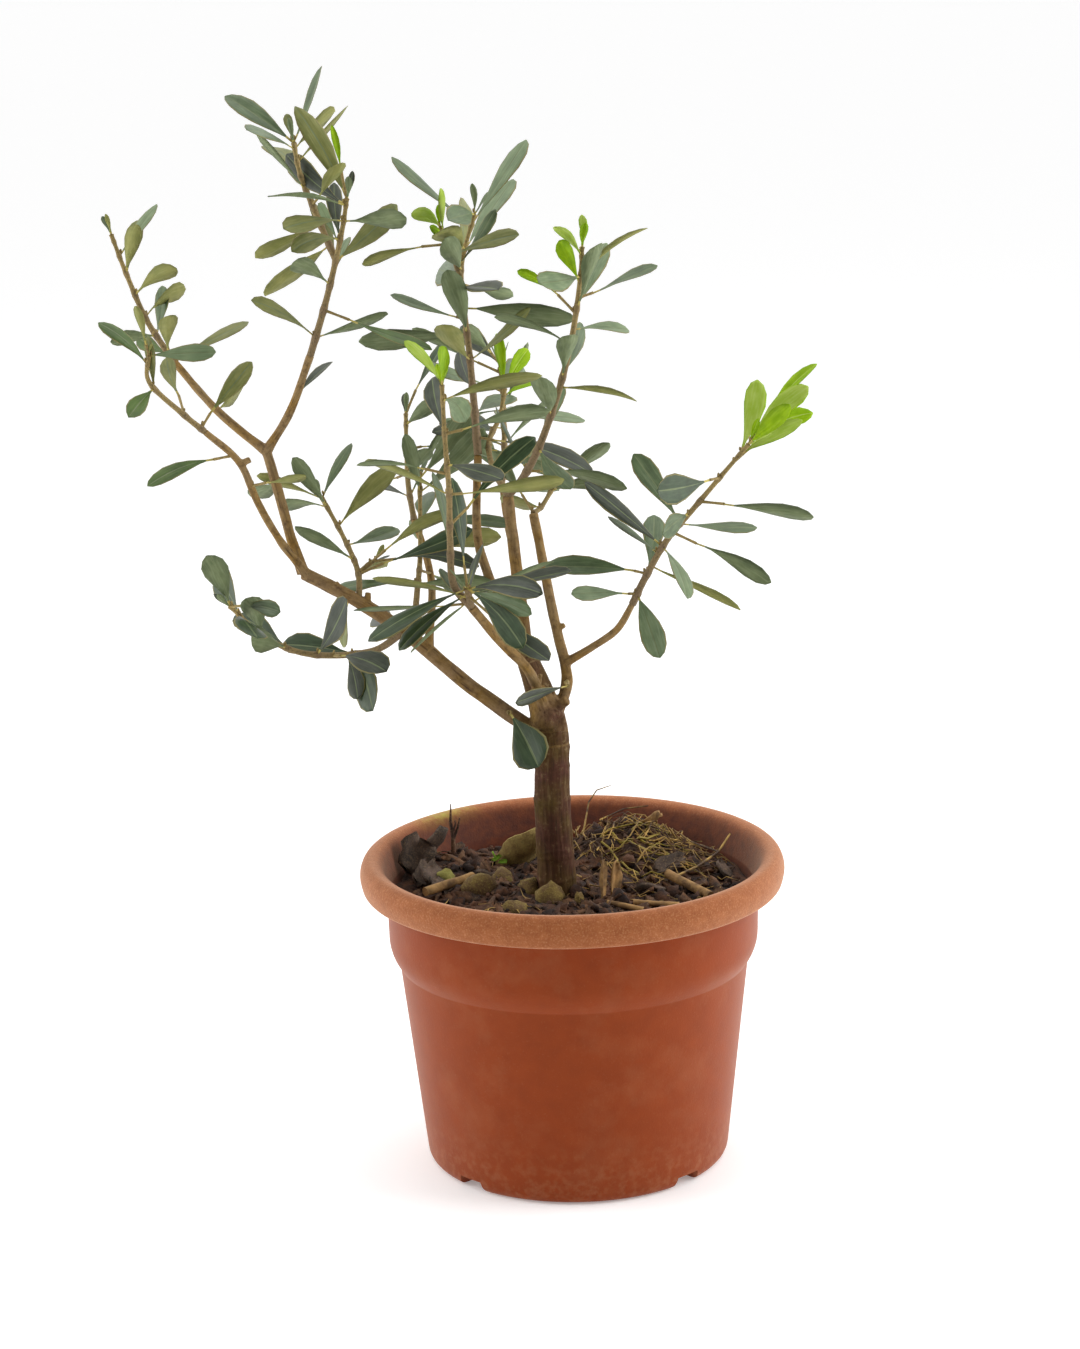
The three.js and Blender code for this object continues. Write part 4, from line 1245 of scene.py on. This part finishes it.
# Side leaves stand between the pairs, on shoots and on the boughs below them: the stem they grow on, the
# spray they belong to, and the seed of each by its station, counted in steps down from the stem's tip.
SIDE_LEAVES = [
    dict(on="right_spray", spray="right_spray", seeds={7: 6416, 9: 17388, 11: 1969, 12: 9416, 15: 19955}),
    dict(on="right_spray", spray="right_spray", seeds={0: 16122, 2: 15822}, young=True),
    dict(on="right_upper_spray", spray="right_upper_spray", seeds={5: 1375, 7: 4199, 11: 7356}),
    dict(on="right_upper_spray", spray="right_upper_spray", seeds={4: 7824, 6: 11670}, young=True),
    dict(on="middle_spray", spray="middle_spray", seeds={5: 19367, 6: 15071, 9: 19728}),
    dict(on="middle_twig", spray="middle_spray", seeds={1: 13491}, young=True),
    dict(on="mid_left_spray", spray="mid_left_spray", seeds={6: 17506, 17: 10582}),
    dict(on="tall_left_spray", spray="tall_left_spray", seeds={5: 12836}),
    dict(on="tall_left_spray", spray="tall_left_spray", seeds={0: 12572}, young=True),
    dict(on="low_left_spray", spray="low_left_spray", seeds={0: 17509, 10: 4942, 11: 9443}),
    dict(on="outer_left_bough", spray="outer_left_spray", seeds={3: 137, 6: 16719}),
    dict(on="far_left_bough", spray="far_left_spray", seeds={0: 5637, 5: 11595}),
    dict(on="tall_left_bough", spray="tall_left_spray", seeds={3: 18978}),
    dict(on="inner_left_bough", spray="left_inner_spray", seeds={2: 1941}),
    dict(on="left_bough", spray="left_inner_spray", seeds={5: 15833, 10: 16629}),
]
SIDE_STEP = 6
SIDE_LEAF = 38
SIDE_OPEN = (25, 100)
SIDE_LENGTH = (0.6, 1.15)
SIDE_DROOP = (-0.2, 0.6)
SIDE_TWIST = (-80, 80)
SIDE_BARE_SHARE = 0.55
SIDE_SPUR = (3, 15)
# A leaf is left out where its blade comes this near to a limb, another stem, or the leaves of another spray
# or of its own. Blades are sampled at stations along them and out to their reach, limbs and shoots at points.
LIMB_CLEAR = 2.5
STEM_CLEAR = 3
SPRAY_CLEAR = 5
PAIR_CLEAR = 3
YOUNG_CLEAR = 1.5
BLADE_STATIONS = (0.4, 0.6, 0.8, 1)
BLADE_REACH = 0.36
LIMB_SAMPLES = 41
SHOOT_SAMPLES = 25
# Shoots: the foot's radius and what it gains with length, the tip's radius, and the swelling at each pair.
SHOOT_FOOT = (1.1, 0.008)
SHOOT_TIP = 0.9
SHOOT_STEP = 1.5
SHOOT_SIDES = 8
NODE_SWELL = 0.35
NODE_REACH = 1.6
SPUR_RADII = (0.8, 0.6, 0.7)
BUD_SIZES = (1.3, 1.3, 2.4)
BUD_OUT = 1.3
BUD_UP = 1.4
BUD_TURN = 57
BUD_CLIMB = 15


def chance(seed, draw):
    """The same number from 0 to 1 for the same seed and draw."""
    return (math.sin(seed * 12.9898 + draw * 78.233) * 43758.5453) % 1


def swing(seed, draw, ends):
    return ends[0] + (ends[1] - ends[0]) * chance(seed, draw)


def pair_shares(spray):
    """How far along a shoot its pairs stand, from the tip down: the youngest two are close together."""
    length = legs_length(spray["legs"])
    shares = []
    along = length
    while along >= spray["bare"]:
        shares.append(along / length)
        along = length - spray["gap"] * (TIP_GAP + len(shares) - 1)
    return shares


def rib_at(leaf, share):
    """A place on the leaf's arched midrib."""
    root, middle, tip = leaf["rib"]
    return (1 - share) ** 2 * root + 2 * share * (1 - share) * middle + share ** 2 * tip


def leaf_on(stem, share, turn, open_by, length, spur=0, droop=0, twist=0, **facts):
    """A leaf that opens and turns from a stem, on a spur or not. Its rib arches from its root, and its face
    looks to the stem's tip and up, a little twisted."""
    foot, along, across, upward = frame_at(curves[stem], share)
    turn, open_by, twist = (math.radians(angle) for angle in (turn, open_by, twist))
    out = math.cos(open_by) * along + math.sin(open_by) * (math.cos(turn) * across + math.sin(turn) * upward)
    root = foot + out * spur
    middle = root + out * length / 2
    tip = middle + unit(out - droop * UP) * length / 2
    level = along + FACE_LIFT * UP
    level = unit(level - (level @ out) * out)
    face = math.cos(twist) * level + math.sin(twist) * np.cross(out, level)
    side = np.cross(out, face)
    return dict(rib=(root, middle, tip), side=side, length=length, foot=foot, spur=spur, **facts)


def pair_of_leaves(spray, pair, share):
    """The leaves of one pair that have not dropped."""
    seed = spray["seeds"][pair]
    young = pair < spray.get("young", 0)
    leaves = []
    for side in range(spray.get("sides", 2)):
        draw = 100 * pair + 50 * side
        missing = chance(seed, draw) < spray.get("missing", MISSING_SHARE)
        if missing or (pair, side) in spray.get("fallen", ()):
            continue
        open_by = spray["open"] * (1 - TIP_CLOSING * share) + swing(seed, draw + 2, OPEN_SWING)
        length = spray["leaf"] * swing(seed, draw + 3, LENGTH_SWING)
        on_spur = not young and "sides" not in spray and chance(seed, draw + 6) < SPUR_SHARE
        leaves.append(leaf_on(
            spray["name"], share,
            turn=spray["turn"] + PAIR_TURN * pair + 180 * side + swing(seed, draw + 1, TURN_SWING),
            open_by=open_by * (YOUNG_CLOSING if young else 1),
            length=length * (YOUNG_SIZE if young else 1),
            spur=swing(seed, draw + 7, SPUR_SWING) if on_spur else 0,
            droop=swing(seed, draw + 4, DROOP_SWING),
            twist=swing(seed, draw + 5, TWIST_SWING),
            spray=spray["name"], pair=pair, young=young, seed=seed, draw=draw,
            tint=spray.get("tint"), broad=spray.get("broad", 1),
        ))
    return leaves


def side_leaf(row, station, seed):
    """A leaf that grows alone on a shoot or bough, turned and opened by its own draws."""
    stem = next(stem for stem in LIMBS + SPRAYS if stem["name"] == row["on"])
    young = row.get("young", False)
    return leaf_on(
        row["on"], 1 - station * SIDE_STEP / legs_length(stem["legs"]),
        turn=360 * chance(seed, 1),
        open_by=swing(seed, 2, SIDE_OPEN) * (YOUNG_CLOSING if young else 1),
        length=stem.get("leaf", SIDE_LEAF) * swing(seed, 3, SIDE_LENGTH) * (YOUNG_SIZE if young else 1),
        spur=swing(seed, 7, SIDE_SPUR) if chance(seed, 6) >= SIDE_BARE_SHARE else 0,
        droop=swing(seed, 4, SIDE_DROOP),
        twist=swing(seed, 5, SIDE_TWIST),
        spray=row["spray"], pair=station, young=young, seed=seed, draw=0, broad=stem.get("broad", 1),
    )


def blade_points(leaf):
    """Points over a leaf's blade, for keeping it clear of its neighbours."""
    reach = BLADE_REACH * LEAF_WIDTH * leaf["broad"] * leaf["length"] * leaf["side"]
    points = []
    for share in BLADE_STATIONS:
        centre = rib_at(leaf, share)
        points += [centre, centre + reach, centre - reach] if share < 1 else [centre]
    return np.array(points)


def gap_between(points, others, thick=0):
    """The least distance from points to other points, each of those as thick as it says."""
    if len(others) == 0:
        return math.inf
    apart = np.linalg.norm(points[:, None] - np.asarray(others)[None], axis=2)
    return (apart - thick).min()


shares = np.linspace(0, 1, LIMB_SAMPLES)
limb_points = [point_at(curves[limb["name"]], share) for limb in LIMBS for share in shares]
limb_thick = np.array([np.interp(share, (0, 1), limb["thick"]) for limb in LIMBS for share in shares])
shoot_points = {}
for spray in SPRAYS:
    curve = grown(point_at(curves[spray["on"]], spray["at"]), spray["legs"])
    curves[spray["name"]] = curve
    shoot_points[spray["name"]] = [point_at(curve, share) for share in np.linspace(0, 1, SHOOT_SAMPLES)]
leaves = []
for spray in SPRAYS:
    kin = [
        row["name"] for row in SPRAYS
        if spray["name"] in (row["name"], row["on"]) or row["name"] == spray["on"]
    ]
    stems = [point for name, points in shoot_points.items() if name not in kin for point in points]
    strangers = [point for leaf in leaves for point in leaf["points"]]
    own = []
    for pair, share in enumerate(pair_shares(spray)):
        for leaf in pair_of_leaves(spray, pair, share):
            points = blade_points(leaf)
            mates = [point for mate in own if mate["pair"] != pair for point in mate["points"]]
            if (
                gap_between(points, limb_points, limb_thick) >= LIMB_CLEAR
                and gap_between(points, stems) >= STEM_CLEAR
                and gap_between(points, strangers) >= SPRAY_CLEAR
                and gap_between(points, mates) >= (YOUNG_CLEAR if leaf["young"] else PAIR_CLEAR)
            ):
                own.append(dict(leaf, points=points))
    leaves += own
for row in SIDE_LEAVES:
    leaves += [side_leaf(row, station, seed) for station, seed in row["seeds"].items()]

# Twig bark: brown and lined at a shoot's foot, smooth golden green-brown towards its tip, and flecked.
twig_bark = finish(
    "olive_twig_bark", 0.7,
    noises={"bloom": BLOOM, "fleck": dict(mm=1.1, detail=3)},
    masks={
        "bloomed": BLOOMED,
        "old": ("thick", 1.1 * MM, 1.8 * MM, 0, 1),
        "flecked": ("fleck", 0.5, 0.36, 0, 0.55),
    },
    ground=("bloomed", "#84703C", "#A08A52"),
    layers=[("old", "#786243"), ("flecked", "#4E4226")],
    bump=("fleck", 0.5, 0.25),
)
shoot_paths = []
for spray in SPRAYS:
    length = legs_length(spray["legs"])
    path = []
    for share in np.linspace(0, 1, max(3, round(length / SHOOT_STEP)) + 1):
        radius = np.interp(share, (0, 1), (SHOOT_FOOT[0] + SHOOT_FOOT[1] * length, SHOOT_TIP))
        radius += sum(NODE_SWELL * bell((share - pair) * length, NODE_REACH) for pair in pair_shares(spray))
        path.append((point_at(curves[spray["name"]], share), radius))
    shoot_paths.append(path)
bud_shapes = []
for leaf in leaves:
    foot, root = leaf["foot"], leaf["rib"][0]
    if leaf["spur"]:
        shoot_paths.append(list(zip((foot, (foot + root) / 2, root), SPUR_RADII)))
    middle = foot + BUD_OUT * unit(leaf["rib"][1] - root) + BUD_UP * UP
    bud = lump(BUD_SIZES, leaf["seed"], 4, 6, 0.2)
    bud_shapes.append(placed(bud, middle, BUD_TURN * leaf["pair"], BUD_CLIMB, 0))
for piece in (
    swept("shoots", shoot_paths, SHOOT_SIDES, twig_bark),
    mesh_piece("buds", *joined(bud_shapes), [twig_bark]),
):
    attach(piece, "root")

# Leaves: leathery olive leaves, a paddle on a thin yellowish stalk, folded a little along a pale midrib, with
# a thin tan rolled margin and a khaki scaly underside. Each grows from its node by the rule above.
LEAF_STATIONS = (0, 0.11, 0.2, 0.33, 0.5, 0.68, 0.84, 0.95, 1)
LEAF_ACROSS = (-1, -0.89, -0.45, -0.06, 0.06, 0.45, 0.89, 1)
STALK_SHARE = 0.1
STALK_HALF_WIDTH = 0.55
STALK_NARROWING = 0.6
TIP_HALF_WIDTH = 0.07
KEEL = 0.55
KEEL_NARROWING = 0.5
FOLD_SWING = (0.08, 0.42)
ROLL_SWING = (0.1, 0.3)
BROAD_SWING = (0.82, 1.12)
SHAPE_SWING = (1.5, 2.2)
FULL_SWING = (0.5, 0.62)
BOW_SWING = (-0.05, 0.05)
CURL_SWING = (-0.5, 0.5)
CURL_FROM = 0.4
RIB_STEP = 1e-3
FIRST_BLADE_DRAW = 9
BLUNT_FROM = 0.5
LEAF_LINE_STRETCH = 12
TIP_LEAF_SHARES = (0.22, 0.34)
TIP_LEAF_OPEN = 22

# Olive leaf: grey-green and half matt above, from deep old leaves to paler new ones, lime at the young tips,
# and scaly khaki below, in soft blotches with scurf in fine lines along the blade. Where the tints are dealt
# out by spray below, the deep tints also serve as painted shade and the pale ones as painted light. Stalk,
# midrib and margin are dry and yellowish. Each finish has its roughness, its gloss, its two near tints and
# its scurf's colour.
LEAF_FINISHES = {
    "stalk": (0.6, 0.35, "#A8984A", "#B5A658", "#C0B470"),
    "midrib": (0.5, 0.35, "#5C6845", "#68744E", "#7C8663"),
    "margin": (0.6, 0.35, "#716A3C", "#7C7547", "#8C855A"),
    "khaki_underside": (0.75, 0.35, "#777A3E", "#868648", "#97975E"),
    "sage_underside": (0.75, 0.35, "#5D6A47", "#6D7953", "#8A946E"),
    "slate": (0.42, 0.35, "#30362B", "#3E4437", "#555E4C"),
    "deep": (0.38, 0.35, "#2B3921", "#36482D", "#506041"),
    "sage": (0.42, 0.35, "#475638", "#556743", "#72825D"),
    "silver": (0.48, 0.35, "#5F714E", "#6F805B", "#8E9C77"),
    "khaki": (0.5, 0.35, "#636935", "#757840", "#8E8E58"),
    "fresh": (0.42, 0.35, "#3E5420", "#4C6428", "#647A3E"),
    "lime": (0.55, 0.12, "#759A03", "#8CAE08", "#A2C22E"),
    "pale_lime": (0.55, 0.12, "#94AE3A", "#A4BA50", "#B9CA76"),
}
leaf_materials = {
    tint: finish(
        "olive_leaf_" + tint, rough, gloss=gloss,
        noises={"blotch": dict(mm=7, detail=4), "lines": dict(mm=0.8, detail=3, follows="blade")},
        masks={"blotched": ("blotch", 0.36, 0.64, 0, 1), "scurfy": ("lines", 0.46, 0.72, 0, 0.5)},
        ground=("blotched", first, second),
        layers=[("scurfy", scurf)],
        bump=("lines", 0.3, 0.2),
    )
    for tint, (rough, gloss, first, second, scurf) in LEAF_FINISHES.items()
}
# How the tints share out, by spray: the paler mix on the sunlit left and top is painted light, and the darker
# mixes in the deep middle and on the shaded low left spray are painted shade, laid over the leaves' own
# spread of tones; the right has its own mix. Each tint is given with the draw it goes up to.
SUNLIT = ((0.46, "khaki"), (0.7, "silver"), (0.84, "sage"), (0.95, "slate"), (1, "fresh"))
MIDDLE = ((0.3, "slate"), (0.64, "sage"), (0.78, "deep"), (0.93, "silver"), (1, "khaki"))
RIGHT = ((0.12, "slate"), (0.48, "sage"), (0.93, "silver"), (1, "deep"))
SHADED = ((0.45, "slate"), (0.85, "deep"), (1, "sage"))
TINTS = {
    "far_left_spray": SUNLIT, "outer_left_spray": SUNLIT, "tall_left_spray": SUNLIT, "tall_left_twig": SUNLIT,
    "middle_twig": SUNLIT, "low_left_spray": SHADED, "right_spray": RIGHT, "right_upper_spray": RIGHT,
    "tuft_spray": RIGHT, "back_spray": RIGHT,
}
PALE_LIME_FROM = 0.75
SAGE_UNDER_SHARE = {SUNLIT: 0.35, MIDDLE: 0.75, RIGHT: 0.9, SHADED: 0.9}


def leaf_tints(leaf):
    """The finishes of a leaf's two sides: lime at the young tips, or else by its spray and its own draws."""
    shade = chance(leaf["seed"], leaf["draw"] + 8)
    if leaf["young"]:
        tint = "pale_lime" if shade > PALE_LIME_FROM else "lime"
        return tint, tint
    tints = TINTS.get(leaf["spray"], MIDDLE)
    is_sage = chance(leaf["seed"], leaf["draw"] + 16) < SAGE_UNDER_SHARE[tints]
    tint = leaf.get("tint") or next(tint for ends, tint in tints if shade <= ends)
    return tint, "sage_underside" if is_sage else "khaki_underside"


def half_width(share, shape, full):
    """A blade's half width as a share of its greatest, from the stalk to the blunt tip."""
    blade = max(0, (share - STALK_SHARE) / (1 - STALK_SHARE))
    width = math.sin(math.pi * blade ** shape) ** full if blade < 1 else 0
    return max(TIP_HALF_WIDTH * (share > BLUNT_FROM), width)


def leaf_mesh(leaf):
    """A leaf's vertices, faces, the finish of each face, and each vertex's place on the blade."""
    seed, draw, length = leaf["seed"], leaf["draw"], leaf["length"]
    swings = (FOLD_SWING, ROLL_SWING, BROAD_SWING, SHAPE_SWING, FULL_SWING, BOW_SWING, CURL_SWING)
    fold, roll, broad, shape, full, bow, curl = (
        swing(seed, draw + i, ends) for i, ends in enumerate(swings, FIRST_BLADE_DRAW)
    )
    broad *= LEAF_WIDTH * length / 2 * leaf.get("broad", 1)
    tint, below = leaf_tints(leaf)
    midrib, margin = ("pale_lime", "lime") if leaf["young"] else ("midrib", "margin")
    strips = [margin, tint, tint, midrib, tint, tint, margin, below, below]
    ring = len(strips)
    vertices = []
    blades = []
    faces = []
    finishes = []
    for row, share in enumerate(LEAF_STATIONS):
        along = unit(rib_at(leaf, share + RIB_STEP) - rib_at(leaf, share - RIB_STEP))
        turn = curl * (share - CURL_FROM)
        face = unit(np.cross(leaf["side"], along))
        side = math.cos(turn) * np.cross(along, face) + math.sin(turn) * face
        face = np.cross(side, along)
        centre = rib_at(leaf, share) + bow * length * math.sin(math.pi * share) * leaf["side"]
        wide = max(STALK_HALF_WIDTH * (1 - STALK_NARROWING * share), broad * half_width(share, shape, full))
        line = share * length / LEAF_LINE_STRETCH
        for out in LEAF_ACROSS:
            rise = wide * (fold * abs(out) - roll * abs(out) ** 3)
            vertices.append(centre + wide * out * side + rise * face)
            blades.append((wide * out, line, seed))
        vertices.append(centre - KEEL * (1 - KEEL_NARROWING * share) * face)
        blades.append((0, line, seed + 1))
        if row:
            first = (row - 1) * ring
            for i, strip in enumerate(strips):
                j = (i + 1) % ring
                faces.append((first + i, first + j, first + ring + j, first + ring + i))
                finishes.append("stalk" if row == 1 else strip)
    faces.append(tuple(range(ring - 1, -1, -1)))
    faces.append(tuple(range(len(vertices) - ring, len(vertices))))
    finishes += ["stalk", tint]
    return vertices, faces, finishes, blades


def tip_leaf(spray, side):
    """One of the two tiny leaves that close a shoot's tip."""
    seed = spray["seeds"][0]
    draw = 100 * len(spray["seeds"]) + 50 * side
    return leaf_on(
        spray["name"], 1,
        turn=spray["turn"] + PAIR_TURN + 180 * side,
        open_by=TIP_LEAF_OPEN,
        length=spray["leaf"] * swing(seed, draw + 3, TIP_LEAF_SHARES),
        spray=spray["name"], young=spray.get("young", 0) > 0, seed=seed, draw=draw,
    )


# A twig's leaves belong to the mass of the shoot that it grows on.
mass_of = {}
for spray in SPRAYS:
    mass_of[spray["name"]] = spray["on"] if spray["on"] in mass_of else spray["name"]
for mass in dict.fromkeys(mass_of.values()):
    grown_leaves = [leaf for leaf in leaves if mass_of[leaf["spray"]] == mass]
    for spray in SPRAYS:
        if mass_of[spray["name"]] == mass and "sides" not in spray:
            grown_leaves += [tip_leaf(spray, side) for side in range(2)]
    meshes = [leaf_mesh(leaf) for leaf in grown_leaves]
    finishes = [tint for _, _, tints, _ in meshes for tint in tints]
    used = list(dict.fromkeys(finishes))
    whole = joined((vertices, faces) for vertices, faces, _, _ in meshes)
    slots = [used.index(tint) for tint in finishes]
    foliage = mesh_piece(mass + "_leaves", *whole, [leaf_materials[tint] for tint in used], slots)
    blades = np.concatenate([blades for _, _, _, blades in meshes]) * MM
    foliage.data.attributes.new("blade", "FLOAT_VECTOR", "POINT").data.foreach_set("vector", blades.ravel())
    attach(foliage, "root")
    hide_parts(mass)

# Stage: a wide pale floor, an even white room that is dimmer in front, and large soft lights at the left, at
# the right and overhead that brighten the pot's sides and its rim.
FLOOR_HALF = 16 / MM
PAPER_GLOW = 0.25
ROOM_FRONT = 0.08
ROOM_BACK = 1.1
ROOM_TURNS = (-0.75, 0.15)
LIGHTS_AIM = (0, 0, 0.25)
# Lights: place, size and power.
LIGHTS = {
    "left_soft_light": ((-1.1, -0.05, 0.7), 0.9, 6.5),
    "right_soft_light": ((1.1, -0.05, 0.7), 0.9, 10.5),
    "top_soft_light": ((0, 0.1, 1.6), 1.2, 7.5),
}
paper, tree, shader = new_material("white_paper")
feed(tree, shader, {
    "Base Color": "#F6F6F6", "Roughness": 0.9, "Emission Color": "#FFFFFF", "Emission Strength": PAPER_GLOW,
})
floor_corners = [(x * FLOOR_HALF, y * FLOOR_HALF, 0) for x, y in ((-1, -1), (1, -1), (1, 1), (-1, 1))]
floor = mesh_piece("floor", floor_corners, [(0, 1, 2, 3)], [paper])

room = bpy.data.worlds.new("white_room")
room.use_nodes = True
bpy.context.scene.world = room
tree = room.node_tree
way = add_node(tree, "ShaderNodeTexCoord").outputs["Generated"]
depth = add_node(tree, "ShaderNodeSeparateXYZ", {0: way}).outputs[1]
bright = add_node(tree, "ShaderNodeMapRange", {
    0: depth, 1: ROOM_TURNS[0], 2: ROOM_TURNS[1], 3: ROOM_FRONT, 4: ROOM_BACK,
})
feed(tree, tree.nodes["Background"], {"Color": "#FFFFFF", "Strength": bright})
for name, (place, size, power) in LIGHTS.items():
    light = bpy.data.lights.new(name, "AREA")
    light.size = size
    light.energy = power
    lamp = bpy.data.objects.new(name, light)
    lamp.location = place
    lamp.rotation_euler = (Vector(LIGHTS_AIM) - Vector(place)).to_track_quat("-Z", "Y").to_euler()
    bpy.context.scene.collection.objects.link(lamp)

# Camera: from the front and a little above, as the photograph was taken.
CAMERA_PLACE = (0, -1.5, 0.6148)
CAMERA_YAW = -0.490
CAMERA_PITCH = 14.226
CAMERA_ROLL = -1.440
FOCAL_PIXELS = 3333.8
IMAGE_HEIGHT = 1349
SENSOR_HEIGHT = 36
yaw, pitch, roll = (math.radians(angle) for angle in (CAMERA_YAW, CAMERA_PITCH, CAMERA_ROLL))
ahead = Vector((math.sin(yaw) * math.cos(pitch), math.cos(yaw) * math.cos(pitch), -math.sin(pitch)))
right = Vector((math.cos(yaw), -math.sin(yaw), 0))
above = right.cross(ahead)
rolled_right = math.cos(roll) * right + math.sin(roll) * above
rolled_above = math.cos(roll) * above - math.sin(roll) * right
lens = bpy.data.cameras.new("camera")
lens.sensor_fit = "VERTICAL"
lens.sensor_height = SENSOR_HEIGHT
lens.lens = FOCAL_PIXELS / IMAGE_HEIGHT * SENSOR_HEIGHT
camera = bpy.data.objects.new("camera", lens)
turn = Matrix((rolled_right, rolled_above, -ahead)).transposed()
camera.matrix_world = Matrix.Translation(CAMERA_PLACE) @ turn.to_4x4()
bpy.context.scene.collection.objects.link(camera)
bpy.context.scene.camera = camera
bpy.context.scene.view_settings.view_transform = "Standard"
